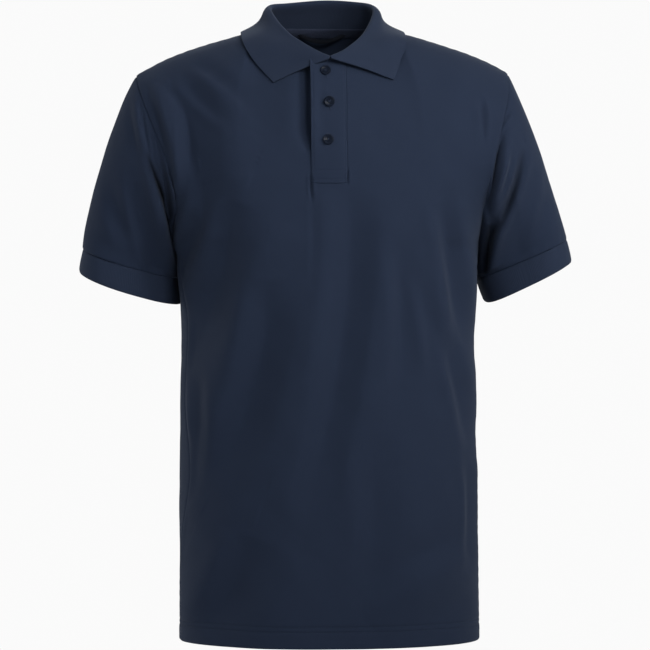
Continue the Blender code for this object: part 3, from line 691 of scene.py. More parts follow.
columns = both_sides(side_half, stops(-PLACKET_ZONE, (18, PLACKET_ZONE)))
back_rows = body_rows + stops(1.0, (78, 2.0))[1:]
places = panel(BACK, *np.meshgrid(columns, back_rows))
back = cloth_piece(
    "back_pique", "back_body", "pique", PIQUE, PIQUE_WALL, columns, back_rows, places, flip=True
)


# ------------------------------------------------------------------ sleeves
# Short set-in sleeves in pique, each one piece joined under the arm and sewn into its
# armhole. They fold where they hang down beside the body.
CUFFS = (
    # side, ring, outer x, outer z, inner x, inner y, inner z, half depth, front drop
    ("right", "seam", -284.5, -259.5, -171, 43, -291, 54, 8),
    ("right", "end", -290, -286, -167.5, 45, -321, 56, 10.5),
    ("left", "seam", 286, -247, 184, 36, -291, 54, 3.5),
    ("left", "end", 292, -273, 194, 32, -321, 56, 4),
)
CUFF_SETBACK, CUFF_ROUND, SLEEVE_END_PULL = 0.6, 2.2, 0.5
FOLDED_ROUND = {-1: 2.2, 1: 3.4}
SIDE_CLEAR, ARMPIT_BLEND = 1.9, 15.0
SLEEVE_TUCK, SLEEVE_LIE = 1.3, 0.1
TUCK_COLUMNS, TUCK_ROWS = (0.978, 0.99), [-0.02, -0.01]
ARMHOLE_LEVELS, ARMHOLE_POINTS = 181, 150
SLEEVE_WAVES, SLEEVE_WAVE_START, SLEEVE_CALM = 0.7, 5.1, 5
TURN_STEP = 0.01

# How a sleeve leaves its armhole: parts outward, down and to the front or back, at the
# shoulder, the middle of the front, the armpit and the middle of the back.
SLEEVE_START = (
    # turn, outward, down, toward, pull
    (0, 0.50, 0.86, 0, 0.75),
    (0.25, 0.75, 0.60, 0.20, 0.8),
    (0.5, 0.10, 1, 0, 0.7),
    (0.75, 0.75, 0.60, 0.20, 0.8),
    (1, 0.50, 0.86, 0, 0.75),
)
SLEEVE_FOLDS = {
    FRONT: fold_lines((
        # x0, z0, x1, z1, x2, z2, right width, left width, depth
        (-211, -138, -193.5, -202, -171.5, -280, 9, 8, 5),
        (-203, -134, -189.5, -194, -174, -266, 7.5, 7.5, 9),
        (-223, -84, -219, -118, -211, -158, 8, 4, -5.5),
        (-208, -92, -201, -124, -192, -164, 8, 5, 4),
        (-228, -180, -214, -240, -196, -300, 12, 17, 6),
        (-256, -170, -246, -215, -236, -262, 12, 12, 2.5),
        (-270, -205, -255, -236, -226, -262, 14, 12, -1.6),
        (197, -88, 194, -106, 191, -126, 3, 4, 4.5),
        (212, -100, 205, -110, 197, -121, 2.6, 3.6, 3.4),
        (200, -118, 193.5, -158, 185, -210, 4, 9, 8),
        (229, -140, 215, -196, 188, -252, 14, 7, 4.5),
        (214, -150, 206, -178, 198, -204, 5, 5, 4),
        (191, -230, 187, -268, 187, -310, 9, 10, 8),
        (262, -150, 258, -200, 246, -255, 10, 14, 2.5),
        (208, -215, 200, -262, 197, -306, 8, 26, -5),
    )),
    BACK: fold_lines((
        # x0, z0, x1, z1, x2, z2, right width, left width, depth
        (-212, -140, -198, -195, -180, -262, 6, 14, 9),
        (-240, -120, -226, -180, -205, -250, 15, 8, 5),
        (-256, -150, -248, -200, -240, -262, 12, 16, 3),
        (212, -135, 200, -190, 188, -255, 14, 6, 9),
        (240, -118, 228, -178, 206, -245, 8, 15, 5),
        (262, -150, 256, -200, 246, -255, 14, 12, 3),
    )),
}
FOLD_FACING, FOLD_START, FOLD_FADE = 1.6, 0.04, 1 / 8

# Where a sleeve is doubled over beside the body, its creases run straight back, and their tightness
# is also painted on the cloth as dark shade.
SLEEVE_CREASES = fold_lines((
    # x0, z0, x1, z1, x2, z2, right width, left width, tightness
    (-212, -148, -192.5, -207, -172, -282, 2.2, 2.6, 1),
    (-199, -150, -187, -205, -174.5, -262, 6, 6, 0.25),
    (-193, -156, -185, -200, -177.5, -252, 2, 2, 0.4),
    (198, -90, 194.5, -106, 191, -126, 1.8, 2.4, 0.35),
    (211, -102, 205, -111, 198, -121, 1.6, 2, 0.3),
    (199.5, -124, 191.5, -158, 185.5, -206, 2.5, 5.5, 0.75),
    (229, -142, 215.5, -200, 190, -252, 5.5, 3, 0.6),
    (191, -228, 187, -266, 187, -310, 4.5, 7, 0.85),
))
CREASE_DEPTH = 8.0


def places_at(spots, run, line):
    """Places on a line, at spots along it."""
    return np.stack([np.interp(spots, run, line[:, i]) for i in range(3)], -1)


def equal_lengths(points, count):
    """A line of points cut into equal lengths."""
    run = run_along(points)
    return places_at(np.linspace(0.0, run[-1], count), run, points)


def armhole_loop(hand, half_count, column=1.0):
    """The armhole from the shoulder down the front to the armpit and up the back, just
    under the body's cloth."""
    fall = np.linspace(2.0, 1.0, ARMHOLE_LEVELS)
    edge = {}
    for side, levels in ((FRONT, fall), (BACK, fall[::-1])):
        across = np.full(levels.shape, hand * column)
        line = panel_and_out(side, across, levels, -SLEEVE_TUCK)[0] / MM
        edge[side] = equal_lengths(line, half_count + 1)
    armpit = (edge[FRONT][-1] + edge[BACK][0]) / 2
    return np.concatenate((edge[FRONT][:-1], [armpit], edge[BACK][1:-1]))


def cuff_ring(hand, place, turn):
    """Places on the ring of a cuff: turn 0 is outside, 0.25 front, 0.5 inside."""
    side = "right" if hand < 0 else "left"
    sizes = next(row[2:] for row in CUFFS if row[:2] == (side, place))
    outer_x, outer_z, inner_x, inner_y, inner_z, depth, drop = sizes
    outer, inner = np.array((outer_x, 0.0, outer_z)), np.array((inner_x, inner_y, inner_z))
    c, s = np.cos(turn * math.tau)[..., None], np.sin(turn * math.tau)[..., None]
    power = 2 / np.where((c < 0) & (s > 0), FOLDED_ROUND[hand], CUFF_ROUND)
    wide = np.sign(c) * np.abs(c) ** power
    deep = np.sign(s) * np.abs(s) ** power
    return (outer + inner) / 2 + (outer - inner) / 2 * wide + np.array((0, -depth, -drop)) * deep


def beside_body(hand, places):
    """Places of a hanging sleeve, held clear of the side of the body."""
    x, y, z = np.moveaxis(places, -1, 0)
    low_x, high_x, front, back, seam, square = read_table(BODY, z)[:6]
    centre = (low_x + high_x) / 2
    share = np.clip((y - seam) / np.where(y < seam, front - seam, back - seam), 0, 1)
    side = np.abs(np.where(hand < 0, low_x, high_x) - centre) * (1 - share**square) ** (1 / square)
    gap = hand * (x - centre) - side - SIDE_CLEAR
    below = eased((ARMPIT_Z - z) / ARMPIT_BLEND)
    push = np.where(z < ARMPIT_Z, (np.hypot(gap, 1.0) - gap) / 2, 0.0) * below
    return np.stack((x + hand * push, y, z), -1)


def sleeve_form(hand, loop, turn, along):
    """The smooth form of a sleeve: turn as on the cuff, along from armhole to cuff."""
    turn, along = np.broadcast_arrays(turn, along)
    spot = (turn % 1.0) * len(loop)
    i = spot.astype(int)
    start = between(loop[i % len(loop)], loop[(i + 1) % len(loop)], (spot - i)[..., None])
    corners = np.array((0.0, 0.5))
    axis = (cuff_ring(hand, "end", corners) - cuff_ring(hand, "seam", corners)).sum(axis=0)
    axis /= np.linalg.norm(axis)
    ring = cuff_ring(hand, "seam", turn) - axis * CUFF_SETBACK
    outward_part, down, toward, pull = read_table(SLEEVE_START, turn % 1.0)
    ahead = np.where(turn % 1.0 < 0.5, -1, 1)
    leave = unit(np.stack((hand * outward_part, ahead * toward, -down), -1))
    length = np.linalg.norm(ring - start, axis=-1, keepdims=True)
    t = along[..., None]
    return (
        start * (2 * t**3 - 3 * t**2 + 1)
        + leave * length * pull[..., None] * (t**3 - 2 * t**2 + t)
        + ring * (3 * t**2 - 2 * t**3)
        + axis * length * SLEEVE_END_PULL * (t**3 - t**2)
    )


def sleeve(hand, loop, turn, along):
    """Places on a sleeve, with its folds, its waves and its two sewn ends, and how tight
    it is creased there, which is painted on the cloth as shade."""
    step_a = np.where(along > 0.5, -TURN_STEP, TURN_STEP)
    here = sleeve_form(hand, loop, turn, along)
    after = sleeve_form(hand, loop, turn + TURN_STEP, along)
    before = sleeve_form(hand, loop, turn - TURN_STEP, along)
    down = (sleeve_form(hand, loop, turn, along + step_a) - here) / step_a[..., None]
    out = unit(np.cross(after - before, down) * hand)
    x, y, z = np.moveaxis(here, -1, 0)
    at_front, facing = out[..., 1] < 0, eased(np.abs(out[..., 1]) * FOLD_FACING)
    folds = np.where(at_front, *(fold_depth(SLEEVE_FOLDS[side], x, z) for side in (FRONT, BACK)))
    fade = facing * eased(along / FOLD_START) * eased((1 - along) / FOLD_FADE)
    calm = eased(along * SLEEVE_CALM) * eased((1 - along) * SLEEVE_CALM)
    depth = folds * fade + SLEEVE_WAVES * wave_depth(x + y, z, SLEEVE_WAVE_START + hand) * calm
    length = np.linalg.norm(down, axis=-1)
    depth += seam_depth((1 - along) * length, x + y)
    depth -= (SLEEVE_TUCK - SLEEVE_LIE) * eased(along * length / SEAM_REACH / 2)
    # The crease tightness draws the cloth straight back and is painted on it as dark shade.
    tight = np.where(at_front, crease_shade(SLEEVE_CREASES, x, z) * fade, 0.0)
    here = here - out * depth[..., None]
    here[..., 1] += CREASE_DEPTH * tight**2
    return beside_body(hand, here) * MM, tight


for hand, name in ((-1, "right"), (1, "left")):
    loop = armhole_loop(hand, ARMHOLE_POINTS)
    turns = stops(0.0, (14, 0.1), (124, 0.5), (74, 1.0))
    rows = stops(0.0, (3, 0.02), (84, 0.98), (3, 1.0))
    places, tight = sleeve(hand, loop, *np.meshgrid(turns, rows))
    tucked = []
    for column in TUCK_COLUMNS:
        ring = armhole_loop(hand, ARMHOLE_POINTS, column)
        ring = np.concatenate((ring, ring[:1])) * MM
        tucked.append(places_at(np.array(turns) * len(loop), range(len(ring)), ring))
    places, rows = np.concatenate((np.stack(tucked), places)), TUCK_ROWS + rows
    piece = cloth_piece(
        "sleeve_%s_pique" % name, "sleeve_" + name, "pique", PIQUE, PIQUE_WALL, turns, rows, places,
        flip=hand > 0, closed=True, creases=np.concatenate((tight[:1], tight[:1], tight)),
    )


# ------------------------------------------------------------------ cuffs
# Each sleeve ends in a band of flat-knitted rib, 28 mm deep, made to shape with a clean
# edge and sewn to the sleeve all round.
RIB_PERIOD, RIB_COURSE, STITCH_SLANT = 1.6 * MM, 1.1 * MM, 2.6
NAVY_RIB, NAVY_RIB_SHADE_AND_DARK_YARN = (0.0175, 0.0262, 0.0490, 1.0), (0.0105, 0.0160, 0.0320, 1.0)
RIB_WALL = 1.7
CUFF_GIRTH = 216 * RIB_PERIOD
CUFF_SWELL, CUFF_EDGE, CUFF_EDGE_REACH, CUFF_WAVES, CUFF_WAVE_START = 0.5, 0.8, 2.0, 0.5, 1.3


def rib_cloth():
    """Rib knit: upright wales, each a column of small V stitches."""
    made, tree, shader = new_cloth("navy_rib", 0.9, 0.10)
    flat, u, v = on_cloth(tree)
    wale = ripple(tree, u, RIB_PERIOD)
    slant = maths(tree, "ABSOLUTE", ripple(tree, u, RIB_PERIOD * 2, "SINE"))
    course = maths(tree, "MULTIPLY", v, math.tau / RIB_COURSE)
    stitch = maths(tree, "COSINE", maths(tree, "MULTIPLY_ADD", slant, STITCH_SLANT, course))
    yarn, patch = speckle(tree, flat, YARN_GRAINS), speckle(tree, flat, 45.0, 3.0)
    height = maths(tree, "MULTIPLY_ADD", stitch, 0.28, wale)
    height = maths(tree, "MULTIPLY_ADD", yarn, 0.6, height)
    # Painted shade: the grooves between the wales are a little darker and the ridges a little
    # lighter; the yarn and patches vary the tone at random.
    shade = maths(tree, "MULTIPLY_ADD", wale, 0.08, 0.9)
    uneven = maths(tree, "MULTIPLY", maths(tree, "ADD", yarn, patch), 0.3)
    colour = mixed(tree, maths(tree, "SUBTRACT", shade, uneven), NAVY_RIB_SHADE_AND_DARK_YARN, NAVY_RIB)
    dress(tree, shader, with_painted_shade(tree, colour), height, 0.5, 0.09)
    return made


RIB = rib_cloth()


def cuff(hand, turn, along):
    """Places on a cuff: drawn in at its seam, with a full, slightly rolled edge."""
    top, end = cuff_ring(hand, "seam", turn), cuff_ring(hand, "end", turn)
    axis = end - top
    length = np.linalg.norm(axis, axis=-1)
    here = between(top, end, along[..., None])
    around = cuff_ring(hand, "end", turn + TURN_STEP) - cuff_ring(hand, "end", turn - TURN_STEP)
    out = unit(np.cross(around, axis) * hand)
    x, y, z = np.moveaxis(here, -1, 0)
    depth = seam_depth(along * length, x + y) - CUFF_SWELL * np.sin(math.pi * along)
    depth += CUFF_EDGE * bell((1 - along) * length, CUFF_EDGE_REACH)
    depth += CUFF_WAVES * wave_depth(x + y, z, CUFF_WAVE_START + hand)
    return beside_body(hand, here - out * depth[..., None]) * MM


for hand, name in ((-1, "right"), (1, "left")):
    turns = stops(0.0, (180, 1.0))
    rows = stops(0.0, (3, 0.12), (10, 0.9), (4, 1.0))
    piece = cloth_piece(
        "cuff_%s_rib" % name, "cuff_" + name, "rib", RIB, RIB_WALL, turns, rows,
        cuff(hand, *np.meshgrid(turns, rows)), flip=hand > 0, closed=True, width=CUFF_GIRTH,
    )


# ------------------------------------------------------------------ plackets
# Two strips of doubled pique close the slash. The under one fills it and carries the
# buttons; the upper one laps over it and is edge-stitched, with a stitched box at its foot.
STRIP_WALL, STRIP_LIFT, STRIP_GAPE, GAPE_REACH, STRIP_TOP = 1.5, 1.5, 4.2, 9.0, 2.022
STRIP_SINK, SINK_REACH = 0.9, 11.0
STRIP_THIN, THIN_REACH = 0.6, 1.3
BOX_TOP, BOX_FOOT, BOX_GROOVE, BOX_GROOVE_HALF = -171.8, -182.2, 0.5, 0.9
EDGE_STITCH, EDGE_GROOVE, EDGE_GROOVE_HALF = 2.5, 0.3, 0.8
STRIP_FULL, FULL_REACH, STRIP_RIPPLE, RIPPLE_LENGTH, RIPPLE_REACH = 0.35, 9.0, 0.2, 9.0, 7.0
UNDER_LEFT, UNDER_RIGHT, UNDER_FOOT, UNDER_LAP = -28.0, 19.5, 0.002, 1.25

under_columns = stops(column_at(UNDER_LEFT), (24, column_at(UNDER_RIGHT)))
under_rows = stops(SLIT_FOOT + UNDER_FOOT, (60, 2.0))
across, up = np.meshgrid(under_columns, under_rows)
places, out = panel_and_out(FRONT, across, up)
places -= out * (placket_dip(across, up) + BED_DEPTH + UNDER_LAP)[..., None] * MM
under = cloth_piece(
    "placket_under_pique", "placket_under", "pique", PIQUE, PIQUE_WALL,
    under_columns, under_rows, places,
)


def upper_placket(across, up, lift=0.0):
    """Places on the upper placket: full along its middle, pressed thin at its edges, with
    a groove under each row of stitches."""
    base, out = panel_and_out(FRONT, across, up)
    x = across * ZONE_HALF / PLACKET_ZONE
    z = base[..., 2] / MM
    edge = STRIP_HALF - np.abs(x)
    free = np.where(x < 0, 1.0, 0.0) * eased((up - DIP_FOOT) / DIP_FADE)
    foot = (up - STRIP_FOOT) * PLACKET_RISE
    depth = STRIP_THIN * bell(np.minimum(edge, foot), THIN_REACH) * (1 - free)
    depth += STRIP_SINK * (1 - eased(np.minimum(foot / SINK_REACH, 1.0)))
    depth += EDGE_GROOVE * bell(edge - EDGE_STITCH, EDGE_GROOVE_HALF)
    for row in (BOX_TOP, BOX_FOOT):
        depth = depth + BOX_GROOVE * bell(z - row, BOX_GROOVE_HALF)
    bulge = STRIP_RIPPLE * np.sin(z / RIPPLE_LENGTH) * bell(edge, RIPPLE_REACH)
    bulge += STRIP_FULL * eased(edge / FULL_REACH) + STRIP_GAPE * free * bell(edge, GAPE_REACH)
    return base + out * (STRIP_LIFT + lift + bulge - depth)[..., None] * MM, out


strip_columns = stops(column_at(-STRIP_HALF), (52, column_at(STRIP_HALF)))
strip_rows = stops(STRIP_FOOT, (130, STRIP_TOP))
over = cloth_piece(
    "placket_top_pique", "placket_top", "pique", PIQUE, STRIP_WALL, strip_columns, strip_rows,
    upper_placket(*np.meshgrid(strip_columns, strip_rows))[0],
)


# ------------------------------------------------------------------ stitching
# Navy polyester thread, in lock stitches 3 mm long: twin rows round the hem, a row down
# each edge of the upper placket, and the box at its foot.
STITCH_LENGTH, STITCH_PITCH, THREAD, THREAD_CLEAR = 2.7, 3.1, 0.2, 0.05
BEAD_SIDES, BEAD_RINGS = 6, 5
HEM_THREAD_END, STRIP_THREAD_FOOT, STRIP_THREAD_TOP, BOX_INSET = 0.995, 0.04, 1.995, 2.0
THREAD_NAVY = (0.017, 0.026, 0.050, 1.0)


def thread_material():
    made, tree, shader = new_cloth("navy_thread", 0.55, 0.1)
    twist = speckle(tree, add_node(tree, "ShaderNodeTexCoord").outputs[3], 3000.0)
    dress(tree, shader, mixed(tree, twist, NAVY_PIT_SHADE_AND_DARK_YARN, THREAD_NAVY), twist, 0.4, 0.05)
    return made


NAVY_THREAD = thread_material()


def lay_bead(bm, middle, along, out, length, radius):
    """One slim bead of thread, so many mm long and thick, its length along the seam."""
    length, radius = length * MM, radius * MM
    along = Vector(along).normalized()
    beside = Vector(out).cross(along).normalized()
    out = along.cross(beside)
    turned = Matrix((beside * radius, out * radius, along * length / 2)).transposed().to_4x4()
    bmesh.ops.create_uvsphere(
        bm, u_segments=BEAD_SIDES, v_segments=BEAD_RINGS, radius=1.0,
        matrix=Matrix.Translation(middle) @ turned,
    )


def stitch_row(bm, places, out):
    """Stitches end to end along a line of places."""
    run = run_along(places) / MM
    count = int(run[-1] / STITCH_PITCH)
    spots = (np.arange(count) + 0.5) * run[-1] / max(count, 1)
    at, ahead = places_at(spots, run, places), places_at(spots + 0.5, run, places)
    for spot, next_spot, away in zip(at, ahead, places_at(spots, run, out)):
        lay_bead(bm, Vector(spot), next_spot - spot, away, STITCH_LENGTH, THREAD)


bm = bmesh.new()
for side in (FRONT, BACK):
    for row in HEM_ROWS:
        line = np.linspace(-HEM_THREAD_END, HEM_THREAD_END, 700)
        stitch_row(bm, *panel_and_out(side, line, row / PANEL_RISE, PIQUE_WALL / 2 + THREAD_CLEAR))
hem_thread = finished("hem_stitching", bm, NAVY_THREAD)
belongs(hem_thread, "pique")

bm = bmesh.new()
strip_face = STRIP_WALL / 2 + THREAD_CLEAR
for x in (-STRIP_HALF + EDGE_STITCH, STRIP_HALF - EDGE_STITCH):
    levels = np.linspace(STRIP_FOOT + STRIP_THREAD_FOOT, STRIP_THREAD_TOP, 240)
    stitch_row(bm, *upper_placket(np.full(levels.shape, column_at(x)), levels, strip_face))
levels = np.linspace(1.0, 2.0, 400)
heights = panel(FRONT, 0.0, levels)[:, 2] / MM
for z in (BOX_TOP, BOX_FOOT):
    line = np.linspace(column_at(-STRIP_HALF + BOX_INSET), column_at(STRIP_HALF - BOX_INSET), 60)
    level = np.full(line.shape, np.interp(z, heights, levels))
    stitch_row(bm, *upper_placket(line, level, strip_face))
placket_thread = finished("placket_stitching", bm, NAVY_THREAD)
belongs(placket_thread, "pique")


# ------------------------------------------------------------------ collar
# One flat-knitted rib collar, 80 mm wide: a stand sewn to the neckline, a soft roll, and
# a fall that lies open on the shirt and comes to a point on each side.
COLLAR = (
    # turn, roll x, roll y, roll z, edge x, edge z, clear, bulge
    (-1, -0.5, -82.8, -37.5, -65, -69, 1.9, 0.6),
    (-0.9, -13, -77, -31.5, -75, -58, 2.2, 1.2),
    (-0.8, -30, -64, -20.5, -86, -45, 3, 1.5),
    (-0.7, -45, -47, -8.5, -94.5, -33, 3.5, 1.5),
    (-0.6, -57, -25, 7, -98.5, -19, 3.5, -2),
    (-0.5, -65, 0, 23, -98.5, 0, 3.5, -5),
    (-0.4, -62.5, 22, 30.5, -91, -7, 3.5, -2),
    (-0.25, -42, 43, 34.5, -64, -9, 3.5, 2),
    (0, 5, 56, 39.5, 1, -9, 3.5, 3),
    (0.25, 45, 43, 36, 60, -9, 3.5, 2),
    (0.4, 57, 22, 31, 85, -7, 3.5, -2),
    (0.5, 59, 0, 23.5, 92, 0, 3.5, -5),
    (0.6, 52, -25, 7, 92, -16, 3.5, -2),
    (0.7, 42, -45, -8, 90.5, -27, 3.5, 1.5),
    (0.8, 30, -60, -19.5, 86, -39, 3, 1.5),
    (0.9, 15, -75, -30.5, 80.5, -52, 2.2, 1),
    (1, 0.5, -82.8, -37.5, 74, -65, 1.9, 0.5),
)
ROLL_RADIUS, COLLAR_ENDS, COLLAR_LIFT, COLLAR_LENGTH = 3.2, 0.7, (0.5, 3.2), 0.42
COLLAR_STATIONS = (0.0, 0.22, 0.40, 0.46, 0.53, 0.76, 1.0)
STAND_PLACE, STAND_LEAN = 0.55, 0.6
ROLL_INSIDE, ROLL_INSIDE_DROP, ROLL_OVER = 0.55, 2.6, 0.35
ROLL_OUTSIDE, ROLL_OUTSIDE_DROP, ROLL_OUTSIDE_FALL = 1.25, 2.2, 2.0
BULGE_OUT, BULGE_UP = 0.8, 0.6
ENDS_FROM, ENDS_BLEND, LIFT_FROM, LIFT_BLEND = 0.9, 0.1, 0.75, 0.15
HALVINGS = 24


def find_on_panel(side, x, z):
    """The across and up values of the body's places seen at x and z, above the armpit."""
    low_up, high_up = np.full(x.shape, 1.0), np.full(x.shape, 2.0)
    for _ in range(HALVINGS):
        up = (low_up + high_up) / 2
        low, high = np.full(x.shape, -1.0), np.full(x.shape, 1.0)
        for _ in range(HALVINGS):
            across = (low + high) / 2
            left = panel_form(side, across, up)[..., 0] < x
            low, high = np.where(left, across, low), np.where(left, high, across)
        below = panel_form(side, across, up)[..., 2] < z
        low_up, high_up = np.where(below, up, low_up), np.where(below, high_up, up)
    return across, up


def collar_table():
    """The collar's table with its outer edge laid on the body."""
    table = np.array(COLLAR)
    turn, _, _, _, edge_x, edge_z, clear, bulge = table.T
    at_front = np.abs(turn) >= 0.5
    edges = {
        side: panel(side, *find_on_panel(side, edge_x, edge_z), clear) / MM
        for side in (FRONT, BACK)
    }
    edge = np.where(at_front[:, None], edges[FRONT], edges[BACK])
    return np.column_stack((table[:, :4], edge, bulge))


COLLAR_TABLE = collar_table()


def collar_form(turn, across):
    """The smooth form of the collar: across is 0 at the neck seam, 1 at the outer edge."""
    turn, across = np.broadcast_arrays(turn, across)
    rx, ry, rz, ex, ey, ez, bulge = read_table(COLLAR_TABLE, turn)
    roll, edge = np.stack((rx, ry, rz), -1), np.stack((ex, ey, ez), -1)
    angle = turn * math.pi
    at_back = np.abs(turn) < 0.5
    depth, height = (np.where(at_back, NECK[BACK][i], NECK[FRONT][i]) for i in (0, 1))
    ends = eased((np.abs(turn) - ENDS_FROM) / ENDS_BLEND)
    seam_x = between(NECK_CENTRE + NECK_HALF * np.sin(angle), np.sign(turn) * COLLAR_ENDS, ends)
    round_neck = np.abs(np.cos(angle))
    lift = between(*COLLAR_LIFT, eased((np.abs(turn) - LIFT_FROM) / LIFT_BLEND))
    seam_y, seam_z = NECK_RIDGE + (depth - NECK_RIDGE) * round_neck, height * round_neck + lift
    seam = np.stack((seam_x, seam_y, seam_z), -1)
    out = np.stack((np.sin(angle), np.cos(angle), 0 * angle), -1)
    rise = np.array((0.0, 0.0, 1.0))
    fall = unit(edge - roll)
    swell = (out * BULGE_OUT + rise * BULGE_UP) * bulge[..., None]
    outside = out * ROLL_RADIUS * ROLL_OUTSIDE + fall * ROLL_OUTSIDE_FALL
    stations = np.stack((
        seam,
        between(seam, roll, STAND_PLACE) - out * STAND_LEAN,
        roll - rise * ROLL_INSIDE_DROP - out * ROLL_RADIUS * ROLL_INSIDE,
        roll + out * ROLL_RADIUS * ROLL_OVER,
        roll - rise * ROLL_OUTSIDE_DROP + outside,
        between(roll, edge, 0.5) + swell,
        edge,
    ))
    return curve_through(COLLAR_STATIONS, stations, across)


# The fall's own soft dents and the dip before its edge.
COLLAR_DENTS = (
    # turn, across, turn width, across width, depth
    (-0.93, 0.72, 0.05, 0.16, 1.2),
    (-0.70, 0.80, 0.09, 0.12, -1),
    (-0.52, 0.66, 0.06, 0.14, 1.4),
    (0.55, 0.68, 0.07, 0.13, 1.2),
    (0.74, 0.78, 0.08, 0.12, -1.2),
    (0.92, 0.74, 0.05, 0.15, 1),
    (-0.2, 0.78, 0.12, 0.14, 1),
    (0.22, 0.74, 0.10, 0.14, 1.2),
)
COLLAR_WAVES, COLLAR_WAVE_START, COLLAR_TURN, COLLAR_ACROSS = 0.25, 3.3, 210.0, 80.0
# Painted shade: the stand, from the neck seam up toward the roll, is darkened as the shade inside
# the collar.
STAND_SHADE, SHADE_FROM, SHADE_BLEND = 0.36, 0.30, 0.14
FALL_FROM, FALL_BLEND = 0.5, 0.1


def collar(turn, across):
    """Places on the collar, with its dents and its low waves."""
    step_t = np.where(turn > 0, -TURN_STEP, TURN_STEP)
    step_a = np.where(across > 0.5, -TURN_STEP, TURN_STEP)
    here = collar_form(turn, across)
    along = (collar_form(turn + step_t, across) - here) / step_t[..., None]
    over = (collar_form(turn, across + step_a) - here) / step_a[..., None]
    out = unit(np.cross(along, over))
    depth = np.zeros(turn.shape)
    for at_turn, at_across, wide, high, dent in COLLAR_DENTS:
        depth += dent * bell(turn - at_turn, wide) * bell(across - at_across, high)
    waves = wave_depth(turn * COLLAR_TURN, across * COLLAR_ACROSS, COLLAR_WAVE_START)
    depth += COLLAR_WAVES * waves * eased((across - FALL_FROM) / FALL_BLEND)
    return (here - out * depth[..., None]) * MM


turns = stops(-1.0, (6, -0.96), (200, 0.96), (6, 1.0))
rows = stops(0.0, (10, 0.36), (14, 0.56), (18, 0.95), (5, 1.0))
turn, across = np.meshgrid(turns, rows)
piece = cloth_piece(
    "collar_rib", "collar", "rib", RIB, RIB_WALL, turns, rows, collar(turn, across),
    width=COLLAR_LENGTH, creases=STAND_SHADE * (1 - eased((across - SHADE_FROM) / SHADE_BLEND)),
)


# ------------------------------------------------------------------ neck tape and hanging loop
# Woven twill tape covers the collar seam inside the back of the neck, and a narrower
# length of near-black twill hangs between its ends as a loop for a coat hook.
TAPE_GAP, TAPE_WALL, TAPE_ROWS, TAPE_ON_STAND = 0.4, 0.9, (1.93, 1.98), (0.004, 0.02)
TAPE_STATIONS, STAND_GAP, TAPE_SHORT = (0.0, 0.45, 0.8, 1.0), 0.3, 0.02
LOOP_HALF, LOOP_SAG, LOOP_WIDTH, LOOP_CUP = 29.0, 10.0, 5.0, 0.5
LOOP_DROP, LOOP_BOW, LOOP_WALL = -6.5, 4.5, 1.1
# Painted light: the tape's navies are lighter than the shirt's, standing in for light inside the
# neck; the darker one is painted shade in the twill's grooves.
TAPE_NAVY_PAINTED_LIGHT, TAPE_GROOVE_SHADE_PAINTED_LIGHT = (0.0270, 0.0345, 0.0600, 1.0), (0.0145, 0.0185, 0.0330, 1.0)
# The loop's navies; the darker one is painted shade in the twill's grooves.
LOOP_NAVY, LOOP_GROOVE_SHADE = (0.0034, 0.0048, 0.0090, 1.0), (0.0018, 0.0026, 0.0050, 1.0)
TWILL_PITCH = 0.9 * MM


def twill_cloth(name, low, high):
    """Twill weave: fine slanting ridges, painted lighter than the grooves between them, as shade.
    """
    made, tree, shader = new_cloth(name, 0.85, 0.03)
    flat, u, v = on_cloth(tree)
    ridge = ripple(tree, maths(tree, "ADD", u, v), TWILL_PITCH, "SINE")
    height = maths(tree, "MULTIPLY_ADD", speckle(tree, flat, 2200.0), 0.5, ridge)
    colour = mixed(tree, maths(tree, "MULTIPLY_ADD", ridge, 0.35, 0.6), low, high)
    dress(tree, shader, colour, height, 0.5, 0.12)
    return made


inward = PIQUE_WALL / 2 + TAPE_GAP + TAPE_WALL / 2
half_tape = stops(PLACKET_ZONE, (24, NECK_ZONE - TAPE_SHORT))
tape_columns = both_sides(half_tape, stops(-PLACKET_ZONE, (16, PLACKET_ZONE)))
tape_rows = stops(0.0, (12, 1.0))
across, rise = np.meshgrid(tape_columns, tape_rows)
turn = np.sign(across) * neck_turn(np.abs(across))
off_stand = (RIB_WALL + TAPE_WALL) / 2 + STAND_GAP
to_middle = -np.stack((np.sin(turn), np.cos(turn), 0 * turn), -1) * off_stand
on_back = [panel(BACK, across, up, -inward) / MM for up in TAPE_ROWS]
on_stand = [collar(turn / math.pi, up + 0 * turn) / MM + to_middle for up in TAPE_ON_STAND]
tape_places = curve_through(TAPE_STATIONS, np.stack(on_back + on_stand), rise) * MM
tape = cloth_piece(
    "neck_tape_twill", "neck_tape", "tape", twill_cloth("navy_twill", TAPE_GROOVE_SHADE_PAINTED_LIGHT, TAPE_NAVY_PAINTED_LIGHT),
    TAPE_WALL, tape_columns, tape_rows, tape_places, flip=True,
)

loop_columns, loop_rows = stops(-1.0, (48, 1.0)), stops(-0.5, (6, 0.5))
along, wide = np.meshgrid(loop_columns, loop_rows)
behind = PIQUE_WALL / 2 + TAPE_GAP + TAPE_WALL + LOOP_WALL
start = panel(BACK, np.array(0.0), np.array(TAPE_ROWS[0]), -behind)
loop_places = start + np.stack((
    along * LOOP_HALF - NECK_CENTRE,
    -LOOP_BOW - LOOP_CUP * (1 - 4 * wide**2),
    -LOOP_DROP - LOOP_SAG * (1 - along**2) + wide * LOOP_WIDTH,
), -1) * MM
cloth_piece(
    "hanging_loop_twill", "hanger_loop", "tape", twill_cloth("dark_twill", LOOP_GROOVE_SHADE, LOOP_NAVY),
    LOOP_WALL, loop_columns, loop_rows, loop_places,
)


